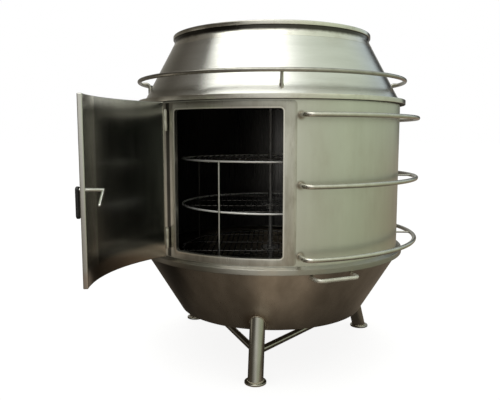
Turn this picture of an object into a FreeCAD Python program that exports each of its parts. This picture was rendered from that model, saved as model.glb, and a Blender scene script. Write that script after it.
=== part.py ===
import FreeCAD, Part
import math
import os
from types import SimpleNamespace

import Sketcher

os.makedirs("parts", exist_ok=True)
doc = FreeCAD.newDocument("roasting_oven")

# Driving sizes: lengths in millimetres, azimuths, splay and sweeps in degrees.
# Azimuth 0 faces the front (-Y) and grows to the right (+X). Heights start at the floor.
driving = {
    # drum wall
    "body_radius": 550,
    "drum_height": 626,
    "shell_skin": 2,
    "wall_depth": 20,
    "liner_skin": 2,
    "seat_gap": 0.3,
    "blanket_gap": 0.9,
    # door opening and its frame
    "opening_azimuth": -17.95,
    "opening_half_width": 211,
    "opening_sill": 54,
    "opening_head": 42,
    "opening_corner": 12,
    "frame_sheet": 2,
    "frame_border": 26,
    "frame_hinge_border": 72,
    "frame_latch_border": 43,
    # ring between drum and bowl
    "ring_lip": 22,
    "ring_face": 16,
    "ring_rise": 12,
    "ring_sheet": 3,
    "ring_ledge": 24,
    # flange between drum and hood
    "flange_lip": 22,
    "flange_drop": 11.5,
    "flange_face": 19.5,
    "flange_rise": 10,
    "flange_sheet": 2,
    # hood, mouth and lid
    "mouth_radius": 410,
    "hood_height": 259,
    "hood_skin": 2.4,
    "rim_overhang": 12,
    "rim_lip": 12,
    "rim_height": 20,
    "rim_sheet": 2,
    "lid_lip": 12,
    "lid_clearance": 3,
    "lid_dish": 10,
    "lid_sheet": 2,
    "lid_handle_width": 150,
    "lid_handle_height": 55,
    "lid_handle_rod": 12,
    "lid_handle_bend": 22,
    # fire bowl
    "bowl_floor": 180,
    "bowl_height": 257,
    "bowl_overlap": 6,
    "bowl_floor_radius": 402,
    "bowl_skin": 3,
    "vent_radius": 18,
    "vent_circle": 220,
    "vent_count": 8,
    "grate_rise": 50,
    "grate_thickness": 12,
    "grate_slot_width": 16,
    "grate_slot_start": 80,
    "grate_slot_end": 390,
    "grate_slot_count": 24,
    "tray_radius": 300,
    "tray_depth": 30,
    "tray_flare": 12,
    "tray_sheet": 1.5,
    "tray_collar": 12,
    # bowl handles
    "handle_azimuth": 24.6,
    "handle_drop": 18,
    "handle_width": 168,
    "handle_reach": 46,
    "handle_rod": 15,
    "handle_root": 39,
    "handle_bend": 22,
    # legs, feet and braces
    "leg_azimuth": -6.6,
    "leg_pipe": 60.3,
    "leg_wall": 2,
    "leg_splay": 15,
    "foot_circle": 476,
    "foot_diameter": 84,
    "foot_thickness": 8,
    "foot_chamfer": 1.5,
    "brace_height": 109,
    "brace_pipe": 26.9,
    # rails
    "rail_reach": 73,
    "rail_pipe": 17.2,
    "rail_bend": 26,
    "rail_start": 11,
    "rail_span": 291,
    "rail_low_rise": 62,
    "rail_middle_rise": 316,
    "rail_high_drop": 66,
    "standoff_rod": 8,
    "standoff_start": 89,
    "standoff_step": 90,
    "standoff_count": 3,
    "hood_rail_reach": 17,
    "hood_rail_rise": 86,
    "hood_rail_rod": 16,
    "bracket_rod": 12,
    "bracket_reach": 37,
    "bracket_bend": 14,
    "bracket_azimuth": 4,
    "bracket_count": 4,
    # door
    "door_open": 90.5,
    "door_hinge_lap": 26.7,
    "door_latch_lap": 39.7,
    "door_sill": 3,
    "door_head": 2,
    "door_gap": 0.8,
    "door_depth": 15.5,
    "door_skin": 1.5,
    "door_channel": 18,
    # hinges
    "pivot_lap": 42,
    "pivot_reach": 11.7,
    "knuckle_radius": 9,
    "knuckle_height": 38,
    "pin_radius": 4,
    "pin_head": 7,
    "pin_head_height": 4,
    "run_gap": 0.05,
    "leaf_sheet": 3,
    "leaf_width": 40.5,
    "strap_width": 50,
    "hinge_rise": 30,
    "hinge_drop": 106,
    # latch
    "latch_inset": 41,
    "latch_rise": 291,
    "spindle_radius": 6,
    "spindle_outside": 25,
    "rose_radius": 20,
    "rose_thickness": 4,
    "lever_length": 80,
    "lever_width": 22,
    "lever_thickness": 12,
    "lever_round": 4,
    "tongue_gap": 9,
    "tongue_length": 60,
    "tongue_width": 11,
    "tongue_thickness": 6,
    "tongue_drop": 45,
    # rack carousel
    "shaft_radius": 8,
    "shaft_rise": 26,
    "rack_radius": 396,
    "rack_rim_rod": 8,
    "rack_wire": 4,
    "rack_pitch": 24,
    "wire_gap": 2,
    "rack_tie_pitch": 198,
    "rack_tie_count": 4,
    "rack_rise": 130,
    "rack_step": 198,
    "hub_radius": 18,
    "hub_height": 24,
    "hub_plate_radius": 45,
    "hub_plate": 4,
    "post_rod": 8,
    "post_azimuth": -30,
    "post_count": 4,
    # carousel bearings
    "low_bar_rise": 54,
    "low_bar_thickness": 8,
    "high_bar_drop": 89,
    "high_bar_thickness": 8,
    "bar_width": 50,
    "cup_radius": 20,
    "cup_height": 30,
    "cup_floor": 8,
    "bush_radius": 16,
    "bush_flange_radius": 24,
    "bush_flange": 4,
}

sheet = doc.addObject("Spreadsheet::Sheet", "sizes")
for row, (alias, number) in enumerate(driving.items(), start=1):
    sheet.set(f"A{row}", alias)
    sheet.set(f"B{row}", str(number))
    sheet.setAlias(f"B{row}", alias)
doc.recompute()


class Size:
    # A number together with the sheet formula that it comes from
    def __init__(self, number, formula):
        self.number = float(number)
        self.formula = formula

    def __float__(self):
        return self.number

    def __abs__(self):
        return Size(abs(self.number), f"abs({self.formula})")

    def __add__(self, other):
        return combine(self, "+", other)

    def __radd__(self, other):
        return combine(other, "+", self)

    def __sub__(self, other):
        return combine(self, "-", other)

    def __rsub__(self, other):
        return combine(other, "-", self)

    def __mul__(self, other):
        return combine(self, "*", other)

    def __rmul__(self, other):
        return combine(other, "*", self)

    def __truediv__(self, other):
        return combine(self, "/", other)

    def __neg__(self):
        return combine(0, "-", self)


def as_size(value):
    return value if isinstance(value, Size) else Size(value, repr(float(value)))


def combine(left, sign, right):
    left, right = as_size(left), as_size(right)
    numbers = {
        "+": lambda a, b: a + b,
        "-": lambda a, b: a - b,
        "*": lambda a, b: a * b,
        "/": lambda a, b: a / b,
    }
    number = numbers[sign](left.number, right.number)
    return Size(number, f"({left.formula} {sign} {right.formula})")


s = SimpleNamespace(**{alias: Size(number, f"sizes.{alias}") for alias, number in driving.items()})

up = FreeCAD.Vector(0, 0, 1)
sideways = FreeCAD.Vector(1, 0, 0)
full_turn = 360
half_turn = 180
quarter = 90
subparts = []


def keep(obj, label, placement=None):
    # Names a finished sub-part, sets its place and lists it for writing
    obj.Label = label
    if placement is not None:
        obj.Placement = placement
    subparts.append(obj)
    return obj


def bind(obj, **properties):
    for name, size in properties.items():
        obj.setExpression(name, as_size(size).formula)
    return obj


def at(x, y, z):
    return FreeCAD.Placement(FreeCAD.Vector(float(x), float(y), float(z)), FreeCAD.Rotation())


def turned(azimuth):
    return FreeCAD.Placement(FreeCAD.Vector(), FreeCAD.Rotation(up, float(azimuth)))


def polar(radius, azimuth, height=0):
    angle = math.radians(float(azimuth))
    return FreeCAD.Vector(float(radius) * math.sin(angle), -float(radius) * math.cos(angle), float(height))


# Building helpers: bodies with sketches, then plain solids and their cuts

def new_body(name):
    return doc.addObject("PartDesign::Body", name)


def new_sketch(body, name, role, offset=0):
    sketch = body.newObject("Sketcher::SketchObject", name)
    plane = next(item for item in body.Origin.OriginFeatures if item.Role == role)
    sketch.AttachmentSupport = [(plane, "")]
    sketch.MapMode = "FlatFace"
    sketch.AttachmentOffset = FreeCAD.Placement(FreeCAD.Vector(0, 0, float(offset)), FreeCAD.Rotation())
    return sketch


def tie(sketch, kind, geometry, point, size):
    # Sets one coordinate of a sketch point from the origin, by formula
    size = as_size(size)
    index = sketch.addConstraint(Sketcher.Constraint(kind, -1, 1, geometry, point, size.number))
    sketch.setExpression(f"Constraints[{index}]", size.formula)


def outline(body, name, role, points):
    # A closed outline of straight lines, every corner tied to the sheet
    sketch = new_sketch(body, name, role)
    corners = [FreeCAD.Vector(float(x), float(y), 0) for x, y in points]
    count = len(corners)
    for index in range(count):
        sketch.addGeometry(Part.LineSegment(corners[index], corners[(index + 1) % count]))
    for index in range(count):
        sketch.addConstraint(Sketcher.Constraint("Coincident", index, 2, (index + 1) % count, 1))
    for index, (x, y) in enumerate(points):
        tie(sketch, "DistanceX", index, 1, x)
        tie(sketch, "DistanceY", index, 1, y)
    return sketch


def window(body, name, left, right, low, high, corner):
    # A rectangle with round corners on the upright front plane
    sketch = new_sketch(body, name, "XZ_Plane")
    x0, x1, z0, z1, radius = -float(left), float(right), float(low), float(high), float(corner)
    ends = [
        ((x0 + radius, z0), (x1 - radius, z0)),
        ((x1, z0 + radius), (x1, z1 - radius)),
        ((x1 - radius, z1), (x0 + radius, z1)),
        ((x0, z1 - radius), (x0, z0 + radius)),
    ]
    for start, end in ends:
        sketch.addGeometry(Part.LineSegment(FreeCAD.Vector(*start, 0), FreeCAD.Vector(*end, 0)))
    centres = [(x1 - radius, z0 + radius), (x1 - radius, z1 - radius),
               (x0 + radius, z1 - radius), (x0 + radius, z0 + radius)]
    for index, centre in enumerate(centres):
        circle = Part.Circle(FreeCAD.Vector(*centre, 0), up, radius)
        begin = math.radians(index * quarter - quarter)
        sketch.addGeometry(Part.ArcOfCircle(circle, begin, begin + math.radians(quarter)))
    for index in range(4):
        sketch.addConstraint(Sketcher.Constraint("Tangent", index, 2, 4 + index, 1))
        sketch.addConstraint(Sketcher.Constraint("Tangent", 4 + index, 2, (index + 1) % 4, 1))
    for index in (0, 2):
        sketch.addConstraint(Sketcher.Constraint("Horizontal", index))
    for index in (5, 6, 7):
        sketch.addConstraint(Sketcher.Constraint("Equal", 4, index))
    radius_index = sketch.addConstraint(Sketcher.Constraint("Radius", 4, radius))
    sketch.setExpression(f"Constraints[{radius_index}]", as_size(corner).formula)
    tie(sketch, "DistanceY", 0, 1, low)
    tie(sketch, "DistanceY", 2, 1, high)
    tie(sketch, "DistanceX", 1, 1, right)
    tie(sketch, "DistanceX", 3, 1, -as_size(left))
    return sketch


def revolve(body, sketch, sweep=full_turn):
    feature = body.newObject("PartDesign::Revolution", "turned_" + sketch.Name)
    feature.Profile = sketch
    feature.ReferenceAxis = (sketch, ["V_Axis"])
    bind(feature, Angle=sweep)
    body.Tip = feature
    return feature


def pad(body, sketch, length):
    feature = body.newObject("PartDesign::Pad", "pad_" + sketch.Name)
    feature.Profile = sketch
    bind(feature, Length=length)
    body.Tip = feature
    return feature


def pocket(body, sketch, length, reversed_side):
    feature = body.newObject("PartDesign::Pocket", "pocket_" + sketch.Name)
    feature.Profile = sketch
    feature.Reversed = reversed_side
    bind(feature, Length=length)
    body.Tip = feature
    return feature


def turned_piece(name, points):
    body = new_body(name)
    revolve(body, outline(body, "profile_" + name, "XZ_Plane", points))
    return body


def sector(name, inner, outer, low, high, start, sweep):
    # A curved plate between two radii, from one azimuth over a sweep
    body = new_body(name)
    points = [(inner, low), (outer, low), (outer, high), (inner, high)]
    revolve(body, outline(body, "profile_" + name, "XZ_Plane", points), sweep)
    body.Placement = turned(float(start) - quarter)
    return body


def cylinder(name, radius, length, base=None, rotation=None):
    solid = doc.addObject("Part::Cylinder", name)
    bind(solid, Radius=radius, Height=length)
    solid.Placement = FreeCAD.Placement(base or FreeCAD.Vector(), rotation or FreeCAD.Rotation())
    return solid


def cone(name, low_radius, high_radius, low, high):
    solid = doc.addObject("Part::Cone", name)
    bind(solid, Radius1=low_radius, Radius2=high_radius, Height=as_size(high) - low)
    solid.Placement.Base.z = float(low)
    return solid


def block(name, length, width, height, base):
    solid = doc.addObject("Part::Box", name)
    bind(solid, Length=length, Width=width, Height=height)
    solid.Placement.Base = base
    return solid


def cut(base, *tools):
    for tool in tools:
        result = doc.addObject("Part::Cut", "cut_" + base.Name)
        result.Base = base
        result.Tool = tool
        base = result
    return base


def common(first, second):
    result = doc.addObject("Part::Common", "common_" + first.Name)
    result.Base = first
    result.Tool = second
    return result


def fuse(first, second):
    result = doc.addObject("Part::Fuse", "fuse_" + first.Name)
    result.Base = first
    result.Tool = second
    return result


def group(name, members):
    result = doc.addObject("Part::Compound", name)
    result.Links = members
    return result


def arc(centre, radius, begin, end):
    circle = Part.Circle(FreeCAD.Vector(*centre, 0), up, radius)
    return Part.ArcOfCircle(circle, math.radians(begin), math.radians(end))


def line(start, end):
    return Part.LineSegment(FreeCAD.Vector(*start, 0), FreeCAD.Vector(*end, 0))


def bent_rod(name, spine_role, spine_offset, path, profile_role, profile_offset, centre, diameter):
    # A round rod along a path of lines and tangent arcs
    body = new_body(name)
    spine = new_sketch(body, "path_" + name, spine_role, spine_offset)
    for piece in path:
        spine.addGeometry(piece)
    profile = new_sketch(body, "section_" + name, profile_role, profile_offset)
    middle = FreeCAD.Vector(float(centre[0]), float(centre[1]), 0)
    radius = as_size(diameter) / 2
    profile.addGeometry(Part.Circle(middle, up, radius.number))
    index = profile.addConstraint(Sketcher.Constraint("Radius", 0, radius.number))
    profile.setExpression(f"Constraints[{index}]", radius.formula)
    doc.recompute()
    pipe = body.newObject("PartDesign::AdditivePipe", "pipe_" + name)
    pipe.Profile = profile
    pipe.Spine = (spine, [f"Edge{number}" for number in range(1, len(path) + 1)])
    body.Tip = pipe
    return body


# Sizes and surfaces that several pieces share, worked out from the driving sizes

def arc_angle(offset, radius):
    # Degrees round a circle to a point that lies a distance aside of the middle
    number = math.degrees(math.asin(float(offset) / float(radius)))
    return Size(number, f"(asin({offset.formula} / {radius.formula}) / (1 deg))")


def sweep_of(width, radius):
    return as_size(width) / radius * math.degrees(1)


ring_bottom = s.bowl_floor + s.bowl_height
shell_bottom = ring_bottom + s.ring_sheet
shell_top = shell_bottom + s.drum_height
hood_top = shell_top + s.hood_height
ring_radius = s.body_radius + s.ring_lip
bowl_top_radius = s.body_radius + s.bowl_overlap
liner_radius = s.body_radius - s.wall_depth
opening_bottom = shell_bottom + s.opening_sill
opening_top = shell_top - s.opening_head
opening_turn = turned(s.opening_azimuth)
jamb_half = s.opening_half_width + s.frame_sheet
frame_bottom = opening_bottom - s.frame_border
frame_top = opening_top + s.frame_border
frame_outer = s.body_radius + s.seat_gap + s.frame_sheet
door_inner = frame_outer + s.door_gap
door_outer = door_inner + s.door_depth
door_bottom = frame_bottom + s.door_sill
door_top = frame_top + s.door_head
door_start = s.opening_azimuth - arc_angle(s.opening_half_width + s.door_hinge_lap, door_inner)
door_end = s.opening_azimuth + arc_angle(s.opening_half_width + s.door_latch_lap, door_inner)
pivot_radius = frame_outer + s.pivot_reach
pivot_azimuth = s.opening_azimuth - arc_angle(s.opening_half_width + s.pivot_lap, pivot_radius)
pivot = polar(pivot_radius, pivot_azimuth)
door_swing = FreeCAD.Placement(FreeCAD.Vector(), FreeCAD.Rotation(up, -float(s.door_open)), pivot)
latch_azimuth = s.opening_azimuth + arc_angle(s.opening_half_width - s.latch_inset, door_inner)
latch_height = door_bottom + s.latch_rise
grate_height = s.bowl_floor + s.grate_rise
low_bar_height = grate_height + s.grate_thickness + s.low_bar_rise
bar_top = low_bar_height + s.low_bar_thickness
high_bar_height = hood_top - s.high_bar_drop
shaft_top = high_bar_height + s.high_bar_thickness + s.shaft_rise
rack_low = bar_top + s.rack_rise


def hood_radius(height):
    # Outer radius of the hood cone at a height
    slope = (s.body_radius - s.mouth_radius) / (hood_top - shell_top)
    return s.body_radius - (as_size(height) - shell_top) * slope


def bowl_radius(height):
    # Outer radius of the bowl cone at a height
    slope = (bowl_top_radius - s.bowl_floor_radius) / (ring_bottom - s.bowl_floor)
    return s.bowl_floor_radius + (as_size(height) - s.bowl_floor) * slope


def chord(radius, offset):
    # Half the length of a circle's chord at a distance from its centre
    radius, offset = as_size(radius), as_size(offset)
    number = math.sqrt(radius.number ** 2 - offset.number ** 2)
    return Size(number, f"sqrt({radius.formula} ^ 2 - {offset.formula} ^ 2)")


def bowl_outside(name):
    # The bowl's outer cone, grown by the seat gap, for trimming what is welded to it
    low = s.bowl_floor - s.seat_gap
    return cone(name, bowl_radius(low) + s.seat_gap, bowl_top_radius + s.seat_gap, low, ring_bottom)


# Drum wall: outer shell, blanket and liner, each with the door's cut-out

def cut_opening(body, name):
    grown = jamb_half + s.seat_gap
    margin = s.frame_sheet + s.seat_gap
    doc.recompute()
    before = body.Shape.Volume
    sketch = window(body, "opening_" + name, grown, grown, opening_bottom - margin,
                    opening_top + margin, s.opening_corner + margin)
    pocket(body, sketch, ring_radius, True)
    doc.recompute()
    if body.Shape.Volume >= before:
        raise ValueError("the opening cuts nothing in " + name)


def wall_piece(name, points):
    body = turned_piece(name, points)
    cut_opening(body, name)
    keep(body, name, opening_turn)


shell_inner = s.body_radius - s.shell_skin
wall_piece("outer_shell", [
    (shell_inner, shell_bottom), (s.body_radius, shell_bottom),
    (s.body_radius, shell_top), (shell_inner, shell_top)])

liner_outer = liner_radius + s.liner_skin
cap_bottom = shell_top - s.liner_skin
cap_edge = shell_inner - s.seat_gap
wall_piece("inner_liner", [
    (liner_radius, shell_bottom), (liner_outer, shell_bottom), (liner_outer, cap_bottom),
    (cap_edge, cap_bottom), (cap_edge, shell_top), (liner_radius, shell_top)])

blanket_inner = liner_outer + s.seat_gap
wall_piece("insulation_blanket", [
    (blanket_inner, shell_bottom), (cap_edge, shell_bottom),
    (cap_edge, cap_bottom - s.seat_gap), (blanket_inner, cap_bottom - s.seat_gap)])


# Door frame: a flat band around the opening with a return that lines the wall

def window_block(name, left, right, low, high, corner):
    body = new_body(name)
    pad(body, window(body, "outline_" + name, left, right, low, high, corner), ring_radius)
    return body


def wall_ring(name, inner):
    height = frame_top - frame_bottom
    base = FreeCAD.Vector(0, 0, float(frame_bottom))
    return cut(cylinder(name, frame_outer, height, base), cylinder(name + "_bore", inner, height, base))


def make_door_frame():
    clear = window_block("frame_clear", s.opening_half_width, s.opening_half_width,
                         opening_bottom, opening_top, s.opening_corner)
    band_area = window_block("frame_area", s.opening_half_width + s.frame_hinge_border,
                             s.opening_half_width + s.frame_latch_border,
                             frame_bottom, frame_top, s.opening_corner)
    jamb_area = window_block("jamb_area", jamb_half, jamb_half, opening_bottom - s.frame_sheet,
                             opening_top + s.frame_sheet, s.opening_corner + s.frame_sheet)
    band = common(wall_ring("frame_band", s.body_radius + s.seat_gap), band_area)
    jamb = common(wall_ring("frame_jamb", liner_radius), jamb_area)
    keep(cut(fuse(band, jamb), clear), "door_frame", opening_turn)


make_door_frame()


# Ring and flange: folded sheet collars at the foot and head of the drum

def make_collars():
    wall = s.body_radius + s.seat_gap
    face_top = ring_bottom + s.ring_face
    inside = ring_radius - s.ring_sheet
    keep(turned_piece("lower_ring", [
        (s.body_radius - s.ring_ledge, ring_bottom), (ring_radius, ring_bottom),
        (ring_radius, face_top), (wall, face_top + s.ring_rise),
        (wall, face_top + s.ring_rise - s.ring_sheet), (inside, face_top - s.ring_sheet / 2),
        (inside, shell_bottom), (s.body_radius - s.ring_ledge, shell_bottom)]), "lower_ring")
    flange_bottom = shell_top - s.flange_drop
    flange_radius = s.body_radius + s.flange_lip
    face_top = flange_bottom + s.flange_face
    inside = flange_radius - s.flange_sheet
    crest = face_top + s.flange_rise
    under_crest = crest - s.flange_sheet
    keep(turned_piece("upper_flange", [
        (wall, flange_bottom), (flange_radius, flange_bottom), (flange_radius, face_top),
        (hood_radius(crest) + s.seat_gap, crest), (hood_radius(under_crest) + s.seat_gap, under_crest),
        (inside, face_top - s.flange_sheet / 2), (inside, flange_bottom + s.flange_sheet),
        (wall, flange_bottom + s.flange_sheet)]), "upper_flange")


make_collars()

# Hood cone and the folded rim of its mouth

keep(turned_piece("hood", [
    (s.body_radius - s.hood_skin, shell_top), (s.body_radius, shell_top),
    (s.mouth_radius, hood_top), (s.mouth_radius - s.hood_skin, hood_top)]), "hood")

rim_top = hood_top + s.rim_height
rim_radius = s.mouth_radius + s.rim_overhang
rim_inner_radius = s.mouth_radius - s.rim_lip
rim_wall = rim_radius - s.rim_sheet
rim_floor = s.mouth_radius - s.hood_skin
keep(turned_piece("mouth_rim", [
    (rim_floor, hood_top), (rim_radius, hood_top), (rim_radius, rim_top),
    (rim_inner_radius, rim_top), (rim_inner_radius, rim_top - s.rim_sheet),
    (rim_wall, rim_top - s.rim_sheet), (rim_wall, hood_top + s.rim_sheet),
    (rim_floor, hood_top + s.rim_sheet)]), "mouth_rim")


# Lid: a dished plate whose lip lies on the rim, with a bar handle

def make_lid():
    lip_bottom = rim_top + s.seat_gap
    dish_outer = rim_inner_radius - s.lid_clearance
    dish_bottom = lip_bottom - s.lid_dish
    lip_outer = rim_inner_radius + s.lid_lip
    lid = turned_piece("lid", [
        (0, dish_bottom), (dish_outer, dish_bottom), (dish_outer, lip_bottom), (lip_outer, lip_bottom),
        (lip_outer, lip_bottom + s.lid_sheet), (dish_outer - s.lid_sheet, lip_bottom + s.lid_sheet),
        (dish_outer - s.lid_sheet, dish_bottom + s.lid_sheet), (0, dish_bottom + s.lid_sheet)])
    keep(lid, "lid")
    half = float(s.lid_handle_width) / 2
    bend = float(s.lid_handle_bend)
    foot = float(dish_bottom + s.lid_sheet)
    head = foot + float(s.lid_handle_height)
    path = [
        line((-half, foot), (-half, head - bend)), arc((-half + bend, head - bend), bend, 90, 180),
        line((-half + bend, head), (half - bend, head)), arc((half - bend, head - bend), bend, 0, 90),
        line((half, head - bend), (half, foot))]
    keep(bent_rod("lid_handle", "XZ_Plane", 0, path, "XY_Plane", foot, (-half, 0), s.lid_handle_rod),
         "lid_handle")


make_lid()


# Fire bowl with its air vents, fire grate and drip tray

def make_bowl():
    inside_foot = s.bowl_floor + s.bowl_skin
    body = turned_piece("fire_bowl", [
        (0, s.bowl_floor), (s.bowl_floor_radius, s.bowl_floor), (bowl_top_radius, ring_bottom),
        (bowl_top_radius - s.bowl_skin, ring_bottom),
        (bowl_radius(inside_foot) - s.bowl_skin, inside_foot), (0, inside_foot)])
    vent = new_sketch(body, "vent", "XY_Plane")
    vent.addGeometry(Part.Circle(FreeCAD.Vector(float(s.vent_circle), 0, 0), up, float(s.vent_radius)))
    index = vent.addConstraint(Sketcher.Constraint("Radius", 0, float(s.vent_radius)))
    vent.setExpression(f"Constraints[{index}]", s.vent_radius.formula)
    tie(vent, "DistanceX", 0, 3, s.vent_circle)
    vent.addConstraint(Sketcher.Constraint("PointOnObject", 0, 3, -1))
    repeat_around(body, vent, pocket(body, vent, inside_foot + s.bowl_skin, True), s.vent_count)
    keep(body, "fire_bowl")


def repeat_around(body, sketch, feature, count):
    pattern = body.newObject("PartDesign::PolarPattern", "pattern_" + sketch.Name)
    pattern.Originals = [feature]
    pattern.Axis = (sketch, ["N_Axis"])
    pattern.Angle = full_turn
    bind(pattern, Occurrences=count)
    body.Tip = pattern


def make_grate():
    edge = bowl_radius(grate_height) - s.bowl_skin - s.seat_gap
    top = grate_height + s.grate_thickness
    body = turned_piece("fire_grate", [
        (0, grate_height), (edge, grate_height), (edge, top), (0, top)])
    half = s.grate_slot_width / 2
    slot = outline(body, "grate_slot", "XY_Plane", [
        (s.grate_slot_start, -half), (s.grate_slot_end, -half),
        (s.grate_slot_end, half), (s.grate_slot_start, half)])
    repeat_around(body, slot, pocket(body, slot, top + s.grate_thickness, True), s.grate_slot_count)
    keep(body, "fire_grate")


tray_hole = s.cup_radius + s.seat_gap


def make_tray():
    inside = bar_top + s.tray_sheet
    rim = bar_top + s.tray_depth
    keep(turned_piece("drip_tray", [
        (tray_hole, bar_top), (s.tray_radius, bar_top), (s.tray_radius + s.tray_flare, rim),
        (s.tray_radius + s.tray_flare - s.tray_sheet, rim), (s.tray_radius - s.tray_sheet, inside),
        (tray_hole + s.tray_sheet, inside), (tray_hole + s.tray_sheet, bar_top + s.tray_collar),
        (tray_hole, bar_top + s.tray_collar)]), "drip_tray")


make_bowl()
make_grate()
make_tray()


# Bowl handles: bent rods whose feet are shaped to the cone

def make_bowl_handle(label, azimuth):
    height = ring_bottom - s.handle_drop
    half = float(s.handle_width) / 2
    bend = float(s.handle_bend)
    surface = float(bowl_radius(height))
    start = -(surface - float(s.handle_root))
    reach = -(surface + float(s.handle_reach))
    path = [
        line((-half, start), (-half, reach + bend)), arc((-half + bend, reach + bend), bend, 180, 270),
        line((-half + bend, reach), (half - bend, reach)), arc((half - bend, reach + bend), bend, 270, 360),
        line((half, reach + bend), (half, start))]
    rod = bent_rod(label + "_rod", "XY_Plane", height, path, "XZ_Plane", -start,
                   (-half, height), s.handle_rod)
    keep(cut(rod, bowl_outside(label + "_seat")), label, turned(azimuth))


make_bowl_handle("bowl_handle_front", s.handle_azimuth)
make_bowl_handle("bowl_handle_rear", s.handle_azimuth + half_turn)

# Legs, feet and braces

leg_names = ["front", "right", "left"]
leg_step = full_turn / len(leg_names)
leg_lean = FreeCAD.Rotation(sideways, -float(s.leg_splay))
leg_tangent = math.tan(math.radians(float(s.leg_splay)))


def leg_solid(name, radius, azimuth=0):
    # A pipe-sized cylinder along a leg's axis, from under the floor to inside the bowl
    base = FreeCAD.Vector(0, -float(s.foot_circle) - float(s.leg_pipe) * leg_tangent, -float(s.leg_pipe))
    solid = cylinder(name, radius, s.bowl_floor * 2, base, leg_lean)
    solid.Placement = turned(azimuth).multiply(solid.Placement)
    return solid


def make_leg(side, azimuth):
    pipe = cut(leg_solid("leg_pipe_" + side, s.leg_pipe / 2),
               leg_solid("leg_bore_" + side, s.leg_pipe / 2 - s.leg_wall))
    above = block("above_foot_" + side, ring_radius * 2, ring_radius, ring_bottom,
                  FreeCAD.Vector(-float(ring_radius), -float(ring_radius), float(s.foot_thickness)))
    keep(cut(common(pipe, above), bowl_outside("leg_seat_" + side)), "leg_" + side, turned(azimuth))
    edge = s.foot_diameter / 2
    foot = turned_piece("foot_" + side, [
        (0, 0), (edge, 0), (edge, s.foot_thickness - s.foot_chamfer),
        (edge - s.foot_chamfer, s.foot_thickness), (0, s.foot_thickness)])
    keep(foot, "foot_" + side, at(*polar(s.foot_circle, azimuth)))


def make_brace(label, azimuth):
    # The pipe between two legs, drawn with the legs half a step to either side
    circle = float(s.foot_circle) - leg_tangent * float(s.brace_height)
    half_step = leg_step / 2
    start = polar(circle, -half_step, s.brace_height)
    span = polar(circle, half_step, s.brace_height) - start
    pipe = doc.addObject("Part::Cylinder", label + "_pipe")
    bind(pipe, Radius=s.brace_pipe / 2)
    pipe.Height = span.Length
    pipe.Placement = FreeCAD.Placement(start, FreeCAD.Rotation(up, span))
    seats = [leg_solid(f"{label}_seat_{side}", s.leg_pipe / 2 + s.seat_gap, side * half_step)
             for side in (-1, 1)]
    keep(cut(pipe, *seats), label, turned(azimuth))


for number, side in enumerate(leg_names):
    make_leg(side, s.leg_azimuth + number * leg_step)
for number, label in enumerate(["brace_right", "brace_rear", "brace_left"]):
    make_brace(label, s.leg_azimuth + (number + 0.5) * leg_step)


# Guard rails round the drum, with their stand-off rods

rail_circle = s.body_radius + s.rail_reach
front_angle = 270


def rail_path():
    # Out from the wall, round the drum and back to the wall, with tangent bends
    circle, bend, span = float(rail_circle), float(s.rail_bend), float(s.rail_span)
    wall = float(s.body_radius + s.seat_gap)
    tangent = math.sqrt((circle - bend) ** 2 - bend ** 2)
    lead = math.degrees(math.atan2(bend, tangent))
    first, last = polar(circle - bend, lead), polar(circle - bend, span - lead)
    inner, outer = polar(wall, span), polar(tangent, span)
    return [
        line((0, -wall), (0, -tangent)),
        arc((first.x, first.y), bend, front_angle - quarter, front_angle + lead),
        arc((0, 0), circle, front_angle + lead, front_angle + span - lead),
        arc((last.x, last.y), bend, front_angle + span - lead, front_angle + quarter + span),
        line((outer.x, outer.y), (inner.x, inner.y))]


def make_rail(label, height):
    wall = s.body_radius + s.seat_gap
    rod = bent_rod(label, "XY_Plane", height, rail_path(), "XZ_Plane", wall, (0, height), s.rail_pipe)
    keep(rod, label, turned(s.rail_start))
    standoffs = []
    length = rail_circle - s.rail_pipe / 2 - s.body_radius - s.seat_gap * 2
    for number in range(int(float(s.standoff_count))):
        azimuth = s.standoff_start + s.standoff_step * number
        outward = FreeCAD.Rotation(up, polar(1, azimuth))
        standoffs.append(cylinder(f"{label}_standoff", s.standoff_rod / 2, length,
                                  polar(wall, azimuth, height), outward))
    return standoffs


standoffs = make_rail("side_rail_low", shell_bottom + s.rail_low_rise)
standoffs += make_rail("side_rail_middle", shell_bottom + s.rail_middle_rise)
standoffs += make_rail("side_rail_high", shell_top - s.rail_high_drop)
keep(group("rail_standoffs", standoffs), "rail_standoffs")


# Ring rail round the hood, on four bent brackets

def make_hood_rail():
    circle = s.body_radius + s.hood_rail_reach
    level = shell_top + s.hood_rail_rise
    rail = doc.addObject("Part::Torus", "hood_rail")
    bind(rail, Radius1=circle, Radius2=s.hood_rail_rod / 2)
    keep(rail, "hood_rail", at(0, 0, level))
    start = -float(circle - s.hood_rail_rod / 2 - s.seat_gap)
    post, bend, height = -float(circle - s.bracket_reach), float(s.bracket_bend), float(level)
    path = [
        line((start, height), (post - bend, height)),
        arc((post - bend, height - bend), bend, 0, 90),
        line((post, height - bend), (post, float(shell_top)))]
    outside = cone("bracket_seat", s.body_radius + s.seat_gap, s.mouth_radius + s.seat_gap,
                   shell_top, hood_top)
    brackets = []
    for number in range(int(float(s.bracket_count))):
        rod = bent_rod(f"bracket_{number}", "YZ_Plane", 0, path, "XZ_Plane", -start,
                       (0, height), s.bracket_rod)
        bracket = cut(rod, outside)
        bracket.Placement = turned(s.bracket_azimuth + number * full_turn / float(s.bracket_count))
        brackets.append(bracket)
    keep(group("hood_rail_brackets", brackets), "hood_rail_brackets")


make_hood_rail()

# Door: two curved skins round an edge channel and a blanket, stored open

door_sweep = door_end - door_start


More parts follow.
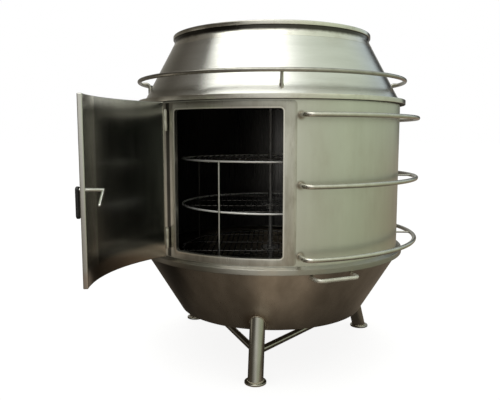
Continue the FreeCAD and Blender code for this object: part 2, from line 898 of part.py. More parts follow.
def door_sector(label, inner, outer, low, high, start, sweep):
    # A curved door layer with the hole that the latch spindle turns in
    outward = FreeCAD.Rotation(up, polar(1, latch_azimuth))
    hole = cylinder(label + "_hole", s.spindle_radius + s.seat_gap, s.wall_depth + s.door_depth * 2,
                    polar(liner_radius, latch_azimuth, latch_height), outward)
    keep(cut(sector(label + "_sheet", inner, outer, low, high, start, sweep), hole), label, door_swing)


door_sector("door_outer_skin", door_outer - s.door_skin, door_outer, door_bottom, door_top,
            door_start, door_sweep)
door_sector("door_inner_skin", door_inner, door_inner + s.door_skin, door_bottom, door_top,
            door_start, door_sweep)
core_inner = door_inner + s.door_skin + s.seat_gap
core_outer = door_outer - s.door_skin - s.seat_gap


def make_door_core():
    # The channel runs round the edge, and the blanket fills what it encloses
    edge = math.degrees(float(s.door_channel) / float(door_outer))
    ease = math.degrees(float(s.blanket_gap) / float(door_inner))
    inside_start, inside_sweep = door_start + edge, door_sweep - 2 * edge
    low, high = door_bottom + s.door_channel, door_top - s.door_channel
    rim = sector("channel_area", core_inner, core_outer, door_bottom, door_top, door_start, door_sweep)
    hollow = sector("channel_hollow", door_inner, door_outer, low, high, inside_start, inside_sweep)
    keep(cut(rim, hollow), "door_edge_channel", door_swing)
    blanket_inner = door_inner + s.door_skin + s.blanket_gap
    blanket_outer = door_outer - s.door_skin - s.blanket_gap
    door_sector("door_blanket", blanket_inner, blanket_outer, low + s.blanket_gap, high - s.blanket_gap,
                inside_start + ease, inside_sweep - 2 * ease)


make_door_core()


# Barrel hinges: a fixed leaf, a door strap and a headed pin each

def make_hinge(where, low):
    low_at = FreeCAD.Vector(pivot.x, pivot.y, float(low))
    high = low + s.knuckle_height + s.seat_gap
    high_at = FreeCAD.Vector(pivot.x, pivot.y, float(high))
    bore = cylinder(f"hinge_bore_{where}", s.pin_radius + s.run_gap,
                    (s.knuckle_height + s.seat_gap) * 2, low_at)
    leaf_inner = frame_outer + s.seat_gap
    leaf_sweep = sweep_of(s.leaf_width, leaf_inner)
    leaf = sector(f"leaf_{where}", leaf_inner, leaf_inner + s.leaf_sheet, low, high + s.knuckle_height,
                  pivot_azimuth - leaf_sweep, leaf_sweep)
    fixed = fuse(leaf, cylinder(f"fixed_knuckle_{where}", s.knuckle_radius, s.knuckle_height, low_at))
    swept = cylinder(f"knuckle_room_{where}", s.knuckle_radius + s.seat_gap,
                     s.knuckle_height + s.seat_gap * 2, high_at - FreeCAD.Vector(0, 0, float(s.seat_gap)))
    keep(cut(fixed, bore, swept), f"hinge_leaf_{where}")
    strap_inner = door_outer + s.seat_gap
    strap = sector(f"strap_{where}", strap_inner, strap_inner + s.leaf_sheet, high, high + s.knuckle_height,
                   pivot_azimuth, sweep_of(s.strap_width, strap_inner))
    moving = fuse(strap, cylinder(f"door_knuckle_{where}", s.knuckle_radius, s.knuckle_height, high_at))
    keep(cut(moving, bore), f"hinge_strap_{where}", door_swing)
    top = high + s.knuckle_height + s.seat_gap
    pin = turned_piece(f"hinge_pin_{where}", [
        (0, low), (s.pin_radius, low), (s.pin_radius, top), (s.pin_head, top),
        (s.pin_head, top + s.pin_head_height), (0, top + s.pin_head_height)])
    keep(pin, f"hinge_pin_{where}", at(pivot.x, pivot.y, 0))


make_hinge("lower", door_bottom + s.hinge_rise)
make_hinge("upper", door_top - s.hinge_drop)


# Latch: a spindle through the door, a lever outside and a hooked tongue inside

def bar_outline(body, name, length, width):
    # A bar with round ends that hangs from the sketch origin
    sketch = new_sketch(body, name, "XZ_Plane")
    half, drop = float(width) / 2, float(length)
    sketch.addGeometry(line((half, 0), (half, -drop)))
    sketch.addGeometry(arc((0, -drop), half, 180, 360))
    sketch.addGeometry(line((-half, -drop), (-half, 0)))
    sketch.addGeometry(arc((0, 0), half, 0, 180))
    for first, first_end, second, second_end in ((0, 2, 1, 2), (1, 1, 2, 1), (2, 2, 3, 2), (3, 1, 0, 1)):
        sketch.addConstraint(Sketcher.Constraint("Tangent", first, first_end, second, second_end))
    sketch.addConstraint(Sketcher.Constraint("Coincident", 3, 3, -1, 1))
    sketch.addConstraint(Sketcher.Constraint("PointOnObject", 1, 3, -2))
    index = sketch.addConstraint(Sketcher.Constraint("Radius", 3, half))
    sketch.setExpression(f"Constraints[{index}]", (as_size(width) / 2).formula)
    index = sketch.addConstraint(Sketcher.Constraint("DistanceY", 1, 3, 3, 3, drop))
    sketch.setExpression(f"Constraints[{index}]", as_size(length).formula)
    return sketch


def round_edges(body, feature, radius):
    # Rounds the edges of both flat faces of a bar
    doc.recompute()
    edges = [f"Edge{number}" for number, edge in enumerate(feature.Shape.Edges, start=1)
             if edge.BoundBox.YLength < edge.Length / 2]
    rounding = body.newObject("PartDesign::Fillet", "rounding_" + body.Name)
    rounding.Base = (feature, edges)
    bind(rounding, Radius=radius)
    body.Tip = rounding


def make_latch():
    facing = door_swing.multiply(turned(latch_azimuth))
    outward = FreeCAD.Rotation(up, FreeCAD.Vector(0, -1, 0))
    height = float(latch_height)

    def at_radius(radius, spin=0):
        turn = FreeCAD.Rotation(FreeCAD.Vector(0, 1, 0), float(spin))
        return facing.multiply(FreeCAD.Placement(FreeCAD.Vector(0, -float(radius), height), turn))

    inner_end = liner_radius - s.tongue_gap - s.tongue_thickness
    lever_seat = door_outer + s.spindle_outside
    lever_outer = lever_seat + s.lever_thickness
    spindle = cylinder("latch_spindle", s.spindle_radius, lever_outer - inner_end)
    keep(spindle, "latch_spindle", at_radius(inner_end).multiply(
        FreeCAD.Placement(FreeCAD.Vector(), outward)))
    lever = new_body("lever_bar")
    round_edges(lever, pad(lever, bar_outline(lever, "lever_outline", s.lever_length, s.lever_width),
                           s.lever_thickness), s.lever_round)
    bore_lever = cylinder("lever_bore", s.spindle_radius + s.run_gap, s.lever_thickness * 3,
                          FreeCAD.Vector(0, float(s.lever_thickness), 0), outward)
    keep(cut(lever, bore_lever), "latch_lever", at_radius(lever_seat))
    tongue = new_body("tongue_bar")
    pad(tongue, bar_outline(tongue, "tongue_outline", s.tongue_length, s.tongue_width), s.tongue_thickness)
    bore_tongue = cylinder("tongue_bore", s.spindle_radius + s.run_gap, s.tongue_thickness * 3,
                           FreeCAD.Vector(0, float(s.tongue_thickness), 0), outward)
    keep(cut(tongue, bore_tongue), "latch_tongue", at_radius(inner_end, float(s.tongue_drop) - quarter))
    rose = cut(cylinder("rose_disc", s.rose_radius, s.rose_thickness),
               cylinder("rose_bore", s.spindle_radius + s.run_gap, s.rose_thickness))
    keep(rose, "latch_rose", at_radius(door_outer + s.seat_gap).multiply(
        FreeCAD.Placement(FreeCAD.Vector(), outward)))


make_latch()


# Rack carousel: shaft, three wire racks on hubs, and the posts that tie their rims

def rack_rod(name, offset, height, across):
    # A wire inside the rim at one side of the centre, along Y or across along X
    reach = s.rack_radius - s.rack_rim_rod - s.seat_gap
    half = chord(reach, abs(offset) + s.rack_wire / 2)
    base = FreeCAD.Vector(float(offset), -float(half), float(height))
    rotation = FreeCAD.Rotation(up, FreeCAD.Vector(0, 1, 0))
    rod = cylinder(name, s.rack_wire / 2, half * 2, base, rotation)
    if across:
        rod.Placement = turned(quarter).multiply(rod.Placement)
    return rod


def make_rack(label, height):
    rim = doc.addObject("Part::Torus", label + "_rim")
    bind(rim, Radius1=s.rack_radius - s.rack_rim_rod / 2, Radius2=s.rack_rim_rod / 2)
    rods = [rim]
    first = s.shaft_radius + s.rack_wire / 2 + s.wire_gap
    wires = int((float(s.rack_radius - s.rack_rim_rod) - float(first)) / float(s.rack_pitch))
    for number in range(wires):
        for side in (-1, 1):
            rods.append(rack_rod(label + "_wire", (first + s.rack_pitch * number) * side, 0, False))
    ties = int(float(s.rack_tie_count))
    for number in range(ties):
        offset = s.rack_tie_pitch * (number - (ties - 1) / 2)
        rods.append(rack_rod(label + "_tie", offset, -(s.rack_wire + s.seat_gap), True))
    keep(group(label, rods), label, at(0, 0, height))


def make_hub(label, height):
    bore = s.shaft_radius + s.run_gap
    seat = as_size(height) - s.rack_wire / 2 - s.seat_gap
    plate = seat - s.hub_plate
    keep(turned_piece(label, [
        (bore, plate - s.hub_height), (s.hub_radius, plate - s.hub_height), (s.hub_radius, plate),
        (s.hub_plate_radius, plate), (s.hub_plate_radius, seat), (bore, seat)]), label)


def make_carousel():
    shaft_foot = bar_top + s.cup_floor + s.seat_gap
    shaft = cylinder("carousel_shaft", s.shaft_radius, shaft_top - shaft_foot)
    keep(shaft, "carousel_shaft", at(0, 0, shaft_foot))
    levels = ["low", "middle", "high"]
    for number, level in enumerate(levels):
        height = rack_low + s.rack_step * number
        make_rack("rack_" + level, height)
        make_hub("rack_hub_" + level, height)
    posts = []
    circle = s.rack_radius + s.post_rod / 2 + s.seat_gap
    foot = rack_low - s.rack_rim_rod / 2
    stack = s.rack_step * (len(levels) - 1) + s.rack_rim_rod
    for number in range(int(float(s.post_count))):
        azimuth = s.post_azimuth + number * full_turn / float(s.post_count)
        posts.append(cylinder("rack_post", s.post_rod / 2, stack,
                              polar(circle, azimuth, foot)))
    keep(group("rack_posts", posts), "rack_posts")


make_carousel()


# Bearings of the carousel: cross bars seated in the bowl and hood, a cup and a bush

def cross_bar(name, height, thickness):
    return block(name, ring_radius * 2, s.bar_width, thickness,
                 FreeCAD.Vector(-float(ring_radius), -float(s.bar_width) / 2, float(height)))


def make_bearings():
    bowl_inside = cone("bowl_inside", bowl_radius(0) - s.bowl_skin - s.seat_gap,
                       bowl_top_radius - s.bowl_skin - s.seat_gap, 0, ring_bottom)
    keep(common(cross_bar("low_bar", low_bar_height, s.low_bar_thickness), bowl_inside), "lower_cross_bar")
    bore = s.shaft_radius + s.run_gap
    keep(turned_piece("pivot_cup", [
        (0, bar_top), (s.cup_radius, bar_top), (s.cup_radius, bar_top + s.cup_height),
        (bore, bar_top + s.cup_height), (bore, bar_top + s.cup_floor),
        (0, bar_top + s.cup_floor)]), "pivot_cup")
    hood_inside = cone("hood_inside", s.body_radius - s.hood_skin - s.seat_gap,
                       s.mouth_radius - s.hood_skin - s.seat_gap, shell_top, hood_top)
    bar = common(cross_bar("high_bar", high_bar_height, s.high_bar_thickness), hood_inside)
    hole = cylinder("bush_hole", s.bush_radius + s.run_gap, shaft_top)
    keep(cut(bar, hole), "upper_cross_bar")
    top = high_bar_height + s.high_bar_thickness
    keep(turned_piece("shaft_bush", [
        (bore, high_bar_height), (s.bush_radius, high_bar_height), (s.bush_radius, top),
        (s.bush_flange_radius, top), (s.bush_flange_radius, top + s.bush_flange),
        (bore, top + s.bush_flange)]), "shaft_bush")


make_bearings()

# Check every object, then write one file for each sub-part

doc.recompute()
for obj in doc.Objects:
    if "Invalid" in obj.State or "Error" in obj.State:
        raise ValueError(f"{obj.Label} failed: {obj.State}")
for part in subparts:
    if part.Shape.isNull() or not part.Shape.isValid():
        raise ValueError(f"{part.Label} has no valid shape")
for part in subparts:
    part.Shape.exportStep(f"parts/{part.Label}.step")
print(f"{len(subparts)} sub-parts written")
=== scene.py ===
import math

import bmesh
import bpy
from mathutils import Matrix, Vector


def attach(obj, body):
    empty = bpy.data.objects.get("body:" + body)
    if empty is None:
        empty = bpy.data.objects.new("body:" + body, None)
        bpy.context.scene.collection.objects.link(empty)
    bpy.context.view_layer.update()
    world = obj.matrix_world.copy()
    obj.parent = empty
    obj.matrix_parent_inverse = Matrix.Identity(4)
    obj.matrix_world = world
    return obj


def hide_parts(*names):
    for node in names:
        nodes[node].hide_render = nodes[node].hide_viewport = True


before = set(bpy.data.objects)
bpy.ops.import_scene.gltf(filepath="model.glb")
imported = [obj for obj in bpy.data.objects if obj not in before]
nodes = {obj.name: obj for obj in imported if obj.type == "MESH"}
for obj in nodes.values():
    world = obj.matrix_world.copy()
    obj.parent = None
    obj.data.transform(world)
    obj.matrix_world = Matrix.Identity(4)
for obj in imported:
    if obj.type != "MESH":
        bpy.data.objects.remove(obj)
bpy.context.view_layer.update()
print("frame loaded with", len(nodes), "nodes")

# node tree shorthands


def feed(tree, socket, value):
    if isinstance(value, bpy.types.NodeSocket):
        tree.links.new(value, socket)
    else:
        socket.default_value = value


def addNode(tree, kind, settings=None, inputs=None):
    node = tree.nodes.new(kind)
    for key, value in (settings or {}).items():
        setattr(node, key, value)
    for key, value in (inputs or {}).items():
        feed(tree, node.inputs[key], value)
    return node


def colour(red, green, blue):
    return (red, green, blue, 1.0)


def noiseOn(tree, place, stretch, detail=4.0, rough=0.55):
    spread = addNode(tree, "ShaderNodeMapping", None, {"Vector": place, "Scale": stretch})
    noise = addNode(tree, "ShaderNodeTexNoise", None,
                    {"Vector": spread.outputs[0], "Scale": 1.0, "Detail": detail, "Roughness": rough})
    return noise.outputs["Fac"]


def remap(tree, value, low, high, newLow=0.0, newHigh=1.0):
    span = addNode(tree, "ShaderNodeMapRange", {"interpolation_type": "SMOOTHSTEP"}, {
        "Value": value, "From Min": low, "From Max": high, "To Min": newLow, "To Max": newHigh})
    return span.outputs["Result"]


def calc(tree, operation, first, second=0.0):
    return addNode(tree, "ShaderNodeMath", {"operation": operation}, {0: first, 1: second}).outputs[0]


def ramp(tree, value, stops):
    node = addNode(tree, "ShaderNodeValToRGB", None, {0: value})
    band = node.color_ramp.elements
    while len(band) < len(stops):
        band.new(0.5)
    for mark, stop in zip(band, stops):  # all places first, because the band sorts itself
        mark.position = stop[0]
    for mark, stop in zip(band, stops):
        mark.color = stop[1]
    return node.outputs[0]


def mixColour(tree, factor, first, second, blend="MIX"):
    mix = addNode(tree, "ShaderNodeMix", {"data_type": "RGBA", "blend_type": blend})
    for socket, value in ((0, factor), (6, first), (7, second)):  # the colour sockets of a Mix node
        feed(tree, mix.inputs[socket], value)
    return mix.outputs[2]


def split(tree, vector):
    return addNode(tree, "ShaderNodeSeparateXYZ", None, {0: vector}).outputs


def measure(tree, operation, first, second=None):
    inputs = {0: first} if second is None else {0: first, 1: second}
    return addNode(tree, "ShaderNodeVectorMath", {"operation": operation}, inputs).outputs["Value"]


def bumped(tree, height, depth, under=None):
    inputs = {"Strength": 1.0, "Distance": depth, "Height": height}
    if under is not None:
        inputs["Normal"] = under
    return addNode(tree, "ShaderNodeBump", None, inputs).outputs[0]


def startMaterial(name):
    material = bpy.data.materials.new(name)
    material.use_nodes = True
    tree = material.node_tree
    tree.nodes.clear()
    output = tree.nodes.new("ShaderNodeOutputMaterial")
    shader = tree.nodes.new("ShaderNodeBsdfPrincipled")
    tree.links.new(shader.outputs["BSDF"], output.inputs["Surface"])
    place = addNode(tree, "ShaderNodeTexCoord").outputs["Object"]
    return material, tree, shader, place


def flatLength(tree, first, second):
    flat = addNode(tree, "ShaderNodeCombineXYZ", None, {0: first, 1: second}).outputs[0]
    return measure(tree, "LENGTH", flat)


def lipHighlightShare(tree, place, axes, size):  # 1 on the rolled edge round the door opening, where a highlight is painted
    turn = math.radians(size["azimuth"])
    aside = measure(tree, "DOT_PRODUCT", place, (math.cos(turn), math.sin(turn), 0.0))
    rise = calc(tree, "SUBTRACT", axes[2], size["middle"])
    past = []
    for value, half in ((aside, size["halfWidth"]), (rise, size["halfHeight"])):
        beyond = calc(tree, "SUBTRACT", calc(tree, "ABSOLUTE", value), half - size["corner"])
        past.append(calc(tree, "MAXIMUM", beyond, 0.0))
    away = calc(tree, "SUBTRACT", flatLength(tree, *past), size["corner"])
    edge = remap(tree, away, size["width"] * size["crisp"], size["width"], 1.0, 0.0)
    face = remap(tree, flatLength(tree, axes[0], axes[1]), *size["face"])
    return calc(tree, "MULTIPLY", edge, face)


# steel finishes: broad streaks, fine brush lines, stains, the tint that welding and heat leave, and bands of
# painted shade and painted light

marks = {
    "streakSpan": (0.3, 0.7), "stainSpan": (0.46, 0.74), "grainSpan": (0.25, 0.75), "stainRough": 0.12,
    "heatCore": 0.45, "heatBlur": 0.5, "heatShare": 0.7, "fadeBlur": 0.6, "gapEdge": 1.7, "gapShare": 0.92,
    "brushTurn": 0.25,
}


def steel(name, look):
    material, tree, shader, place = startMaterial(name)
    axes = split(tree, place)
    streak = noiseOn(tree, place, look["streak"])
    grain = noiseOn(tree, place, look["grain"], detail=3.0)
    stain = noiseOn(tree, place, look["stainScale"], detail=6.0, rough=0.62)
    ragged = calc(tree, "SUBTRACT", stain, 0.5)
    tone = mixColour(tree, remap(tree, streak, *marks["streakSpan"]), look["dark"], look["light"])
    marked = calc(tree, "MULTIPLY", remap(tree, stain, *marks["stainSpan"]), look["stainAmount"])
    tone = mixColour(tree, marked, tone, look["stain"])
    for spot, reach in look.get("heatSpots", ()):
        blur = calc(tree, "MULTIPLY", ragged, reach * marks["heatBlur"])
        away = calc(tree, "ADD", measure(tree, "DISTANCE", place, spot), blur)
        near = remap(tree, away, reach * marks["heatCore"], reach, 1.0, 0.0)
        tone = mixColour(tree, calc(tree, "MULTIPLY", near, marks["heatShare"]), tone, look["heat"])
    for axis, start, full, over, share in look.get("fades", ()):  # tone that grows along one axis; some looks use it for painted shade and painted light
        blur = calc(tree, "MULTIPLY", ragged, (full - start) * marks["fadeBlur"])
        thick = remap(tree, calc(tree, "ADD", axes[axis], blur), start, full)
        tone = mixColour(tree, calc(tree, "MULTIPLY", thick, share), tone, over)
    if "gapShadow" in look:  # painted shadow along the hinge gap, standing in for the shade between door and frame
        azimuth, half, gapShade = look["gapShadow"]
        turn = calc(tree, "ARCTAN2", axes[0], calc(tree, "MULTIPLY", axes[1], -1.0))
        away = calc(tree, "ABSOLUTE", calc(tree, "SUBTRACT", turn, math.radians(azimuth)))
        reach = math.radians(half)
        close = remap(tree, away, reach, reach * marks["gapEdge"], marks["gapShare"], 0.0)
        tone = mixColour(tree, close, tone, gapShade)
    # painted highlight along the rolled edge of the door opening
    if "lip" in look:
        lip = look["lip"]
        shine = calc(tree, "MULTIPLY", lipHighlightShare(tree, place, axes, lip), lip["share"])
        tone = mixColour(tree, shine, tone, lip["tone"])
    feed(tree, shader.inputs["Base Color"], tone)
    shader.inputs["Metallic"].default_value = look.get("metal", 1.0)
    if "brush" in look:  # brush lines run round the axis and smear reflections upwards
        shader.inputs["Anisotropic"].default_value = look["brush"]
        shader.inputs["Anisotropic Rotation"].default_value = marks["brushTurn"]
        tangent = addNode(tree, "ShaderNodeTangent", {"direction_type": "RADIAL", "axis": "Z"})
        feed(tree, shader.inputs["Tangent"], tangent.outputs[0])
    rough = remap(tree, grain, *marks["grainSpan"], *look["rough"])
    dull = calc(tree, "MULTIPLY", marked, marks["stainRough"])
    feed(tree, shader.inputs["Roughness"], calc(tree, "ADD", rough, dull))
    wavy = bumped(tree, noiseOn(tree, place, look["waveScale"], detail=2.0), look["wave"])
    feed(tree, shader.inputs["Normal"], bumped(tree, grain, look["scratch"], wavy))
    return material


drumLook = {
    "dark": colour(0.58, 0.59, 0.53), "light": colour(0.62, 0.63, 0.57),
    "streak": (14.0, 14.0, 0.5), "grain": (380.0, 380.0, 6.0), "rough": (0.30, 0.36),
    "stain": colour(0.40, 0.36, 0.29), "stainScale": (5.0, 5.0, 2.5), "stainAmount": 0.3,
    "heat": colour(0.20, 0.15, 0.10), "waveScale": (4.0, 4.0, 1.2), "wave": 0.0006, "scratch": 0.000004,
}
hoodLook = {**drumLook, "dark": colour(0.58, 0.585, 0.55), "light": colour(0.63, 0.635, 0.60), "brush": 0.9,
            "streak": (3.0, 3.0, 34.0), "grain": (9.0, 9.0, 420.0), "rough": (0.17, 0.23),
            "stainScale": (3.0, 3.0, 9.0), "stainAmount": 0.25, "wave": 0.0004}
collarLook = {**hoodLook, "dark": colour(0.62, 0.61, 0.55), "light": colour(0.74, 0.73, 0.66),
              "stainScale": (22.0, 22.0, 30.0), "stainAmount": 0.35, "rough": (0.16, 0.24), "wave": 0.0}
# painted shade: the rim's neck darkens just under the band
neckShadeLook = {**collarLook, "fades": ((2, 1.304, 1.319, colour(0.03, 0.027, 0.023), 0.95),)}
ringLook = {**collarLook, "dark": colour(0.335, 0.325, 0.283), "light": colour(0.39, 0.38, 0.335),
            "rough": (0.36, 0.46), "stainAmount": 0.6,
            # painted shade: darker towards the left
            "fades": ((0, 0.0, -0.28, colour(0.19, 0.17, 0.145), 0.42),)}
# painted highlight on the frame's rolled opening edge: its tone and share
lipHighlightLook = {"azimuth": -17.95, "halfWidth": 0.211, "middle": 0.759, "halfHeight": 0.265, "corner": 0.012,
           "width": 0.0055, "crisp": 0.7, "face": (0.546, 0.549), "tone": colour(0.86, 0.845, 0.765),
           "share": 0.65}
frameLook = {**drumLook, "dark": colour(0.43, 0.42, 0.37), "light": colour(0.55, 0.54, 0.485),
             "stain": colour(0.33, 0.30, 0.245), "stainScale": (26.0, 26.0, 9.0), "stainAmount": 0.85,
             "streak": (34.0, 34.0, 5.0), "rough": (0.26, 0.4), "wave": 0.0, "lip": lipHighlightLook,
             "fades": ((0, -0.30, -0.375, colour(0.80, 0.78, 0.70), 0.85),  # painted light: lighter beside the hinges
                       (2, 0.90, 1.03, colour(0.35, 0.345, 0.30), 0.7)),  # darker towards the head, under the flange
             # painted shadow line along the hinge gap
             "gapShadow": (-44.6, 0.85, colour(0.03, 0.027, 0.023))}
bowlLook = {**drumLook, "dark": colour(0.36, 0.325, 0.275), "light": colour(0.46, 0.42, 0.36),
            "stain": colour(0.20, 0.165, 0.125), "stainScale": (9.0, 9.0, 2.0), "stainAmount": 0.3,
            "rough": (0.26, 0.36), "streak": (16.0, 16.0, 1.4), "wave": 0.0005,
            # painted shade: darker towards the left, below the open door
            "fades": ((0, -0.28, -0.39, colour(0.05, 0.042, 0.034), 0.85),)}
doorLook = {**drumLook, "dark": colour(0.25, 0.25, 0.235), "light": colour(0.31, 0.31, 0.29),
            "rough": (0.19, 0.26), "stainAmount": 0.15, "wave": 0.0005, "scratch": 0.00004,
            "fades": ((2, 0.580, 0.550, colour(0.10, 0.10, 0.094), 0.85),  # darker above the lower fold
                      (1, -0.754, -0.766, colour(0.56, 0.555, 0.515), 0.9),  # painted reflection: lighter band at the free edge
                      (1, -0.426, -0.418, colour(0.66, 0.645, 0.58), 0.9),  # painted light: lighter band at the hinges
                      (2, 0.536, 0.506, colour(0.46, 0.40, 0.345), 0.95))}  # brown along the lower edge
rodLook = {**drumLook, "dark": colour(0.58, 0.57, 0.50), "light": colour(0.67, 0.66, 0.59), "stainAmount": 0.2,
           "streak": (30.0, 30.0, 30.0), "grain": (300.0, 300.0, 300.0), "rough": (0.18, 0.28), "wave": 0.0}
railLook = {**rodLook, "dark": colour(0.48, 0.47, 0.41), "light": colour(0.57, 0.56, 0.50),
            "fades": ((1, -0.26, -0.10, colour(0.32, 0.31, 0.275), 0.85),)}  # darker towards the rear
hoodRailLook = {**railLook, "dark": colour(0.32, 0.31, 0.275), "light": colour(0.40, 0.39, 0.35)}
handleLook = {**rodLook, "dark": colour(0.50, 0.49, 0.43), "light": colour(0.60, 0.59, 0.53), "metal": 0.55}
legLook = {**rodLook, "dark": colour(0.36, 0.355, 0.31), "light": colour(0.44, 0.43, 0.38),
           "streak": (40.0, 40.0, 1.5), "grain": (340.0, 340.0, 8.0), "rough": (0.13, 0.19)}
shaftLook = {**rodLook, "dark": colour(0.27, 0.265, 0.255), "light": colour(0.35, 0.345, 0.335),
             "rough": (0.4, 0.5), "metal": 0.35}
fittingLook = {**rodLook, "dark": colour(0.38, 0.37, 0.33), "light": colour(0.50, 0.49, 0.44),
               "rough": (0.3, 0.42)}
weldLook = {**rodLook, "dark": colour(0.30, 0.26, 0.20), "light": colour(0.50, 0.46, 0.38),
            "streak": (120.0, 120.0, 120.0), "rough": (0.3, 0.45)}
linerLook = {**drumLook, "dark": colour(0.10, 0.098, 0.096), "light": colour(0.16, 0.157, 0.152),
             "stain": colour(0.04, 0.038, 0.036), "rough": (0.24, 0.36), "metal": 0.85,
             "fades": ((0, 0.028, 0.018, colour(0.055, 0.053, 0.05), 0.8),)}
# dark sheet: soot on the drip tray, painted shade under the flange
sootAndShadeLook = {**drumLook, "dark": colour(0.03, 0.028, 0.025), "light": colour(0.06, 0.056, 0.05),
            "rough": (0.5, 0.7)}
wireLook = {**rodLook, "dark": colour(0.62, 0.62, 0.59), "light": colour(0.74, 0.74, 0.71),
            "rough": (0.12, 0.22)}
postLook = {**wireLook, "dark": colour(0.52, 0.515, 0.49), "light": colour(0.64, 0.635, 0.61),
            "rough": (0.26, 0.36), "fades": ((1, -0.30, -0.16, colour(0.05, 0.047, 0.042), 0.95),)}
ironLook = {**sootAndShadeLook, "rough": (0.6, 0.8), "scratch": 0.0004, "grain": (220.0, 220.0, 220.0)}
brassLook = {**rodLook, "dark": colour(0.48, 0.33, 0.12), "light": colour(0.64, 0.46, 0.18)}


def rackWire(name, look):  # bright rim, painted highlights on the weld spots, smoked wires
    material, tree, shader, place = startMaterial(name)
    axes = split(tree, place)
    rim = remap(tree, flatLength(tree, axes[0], axes[1]), *look["rim"])
    rim = calc(tree, "MULTIPLY", rim, remap(tree, axes[2], *look["lowRim"], look["lowRimShare"], 1.0))
    across = calc(tree, "SUBTRACT", calc(tree, "ABSOLUTE", axes[1]), look["tieStep"] / 2)
    # painted highlights: spots on the wire tops where they cross the ties, on the right-hand side only
    spot = remap(tree, calc(tree, "ABSOLUTE", across), *look["spot"], 1.0, 0.0)
    spot = calc(tree, "MULTIPLY", spot, remap(tree, axes[0], *look["highlightSide"]))
    rise = calc(tree, "SUBTRACT", axes[2], look["low"] - look["below"])
    rise = calc(tree, "SUBTRACT", calc(tree, "MODULO", rise, look["step"]), look["below"])
    upper = remap(tree, rise, *look["upper"])
    smoke = noiseOn(tree, place, look["smokeScale"], detail=5.0)
    tone = mixColour(tree, remap(tree, smoke, *look["smokeSpan"]), look["smoked"], look["dull"])
    bright = calc(tree, "MAXIMUM", rim, calc(tree, "MULTIPLY", spot, upper))
    feed(tree, shader.inputs["Base Color"], mixColour(tree, bright, tone, look["bright"]))
    metal = calc(tree, "SUBTRACT", 1.0, calc(tree, "MULTIPLY", bright, look["rimDull"]))
    feed(tree, shader.inputs["Metallic"], metal)
    wires = remap(tree, smoke, *look["smokeSpan"], *look["rough"])
    rough = calc(tree, "ADD", wires, calc(tree, "MULTIPLY", bright, look["rimRough"]))
    feed(tree, shader.inputs["Roughness"], rough)
    return material


rackLook = {
    "rim": (0.383, 0.387), "lowRim": (0.454, 0.534), "lowRimShare": 0.25, "rimRough": 0.15, "rimDull": 0.6,
    "tieStep": 0.198, "spot": (0.010, 0.026), "highlightSide": (-0.16, -0.10), "low": 0.434, "step": 0.198,
    "below": 0.1, "upper": (-0.0030, -0.0016), "smokeScale": (18.0, 18.0, 18.0), "smokeSpan": (0.3, 0.7),
    "smoked": colour(0.07, 0.066, 0.06), "dull": colour(0.17, 0.165, 0.155),
    "bright": colour(0.84, 0.84, 0.81), "rough": (0.16, 0.3),
}


def grip(name, look):
    material, tree, shader, place = startMaterial(name)
    pebble = noiseOn(tree, place, look["pebble"], detail=3.0)
    wear = noiseOn(tree, place, look["wear"])
    tone = mixColour(tree, remap(tree, wear, *look["wearSpan"]), look["dark"], look["worn"])
    feed(tree, shader.inputs["Base Color"], tone)
    feed(tree, shader.inputs["Roughness"], remap(tree, pebble, *look["pebbleSpan"], *look["rough"]))
    feed(tree, shader.inputs["Normal"], bumped(tree, pebble, look["depth"]))
    return material


gripLook = {
    "dark": colour(0.008, 0.008, 0.008), "worn": colour(0.022, 0.021, 0.02), "pebble": (900.0, 900.0, 900.0),
    "wear": (60.0, 60.0, 60.0), "wearSpan": (0.45, 0.7), "pebbleSpan": (0.3, 0.7), "rough": (0.38, 0.55),
    "depth": 0.00006,
}


def fibre(name, look):
    material, tree, shader, place = startMaterial(name)
    tufts = noiseOn(tree, place, look["tufts"], detail=8.0, rough=0.7)
    tone = mixColour(tree, remap(tree, tufts, *look["tuftSpan"]), look["dark"], look["light"])
    feed(tree, shader.inputs["Base Color"], tone)
    shader.inputs["Roughness"].default_value = 1.0
    feed(tree, shader.inputs["Normal"], bumped(tree, tufts, look["depth"]))
    return material


fibreLook = {"dark": colour(0.62, 0.60, 0.55), "light": colour(0.85, 0.84, 0.8), "tufts": (120.0, 120.0, 40.0),
             "tuftSpan": (0.3, 0.7), "depth": 0.002}

# the oven's own measures, in metres, and places round its axis

oven = {
    "wall": 0.5503, "hoodFoot": 0.55, "shellHigh": 1.066, "hoodTop": 1.325, "mouth": 0.410,
    "bowlLow": 0.180, "bowlHigh": 0.437, "bowlFloor": 0.402, "bowlMouth": 0.556,
    "legCircle": 0.476, "legSplay": 15.0, "legRadius": 0.03015, "legTurns": (-6.6, 113.4, 233.4),
    "legSeat": 0.225, "railHeights": (0.502, 0.756, 1.000), "railEnds": (11.0, 302.0),
}


def around(radius, azimuth, height):  # azimuth in degrees from the front, to the right
    turn = math.radians(azimuth)
    return Vector((radius * math.sin(turn), -radius * math.cos(turn), height))


def bowlRadius(height):
    rise = (height - oven["bowlLow"]) / (oven["bowlHigh"] - oven["bowlLow"])
    return oven["bowlFloor"] + (oven["bowlMouth"] - oven["bowlFloor"]) * rise


def hoodRadius(height):
    rise = (height - oven["shellHigh"]) / (oven["hoodTop"] - oven["shellHigh"])
    return oven["hoodFoot"] + (oven["mouth"] - oven["hoodFoot"]) * rise


def legAxis(azimuth):
    lean = math.tan(math.radians(oven["legSplay"]))
    foot = around(oven["legCircle"], azimuth, 0.0)
    return foot, (around(oven["legCircle"] - lean, azimuth, 1.0) - foot).normalized()


def legPoint(azimuth, height):
    foot, way = legAxis(azimuth)
    return foot + way * (height / way.z)


def legSpots(reach):  # where the legs meet the bowl
    return [(tuple(legPoint(azimuth, oven["legSeat"])), reach) for azimuth in oven["legTurns"]]


def railSpots(reach):  # where the guard rails meet the wall
    return [(tuple(around(oven["wall"], azimuth, height)), reach)
            for height in oven["railHeights"] for azimuth in oven["railEnds"]]


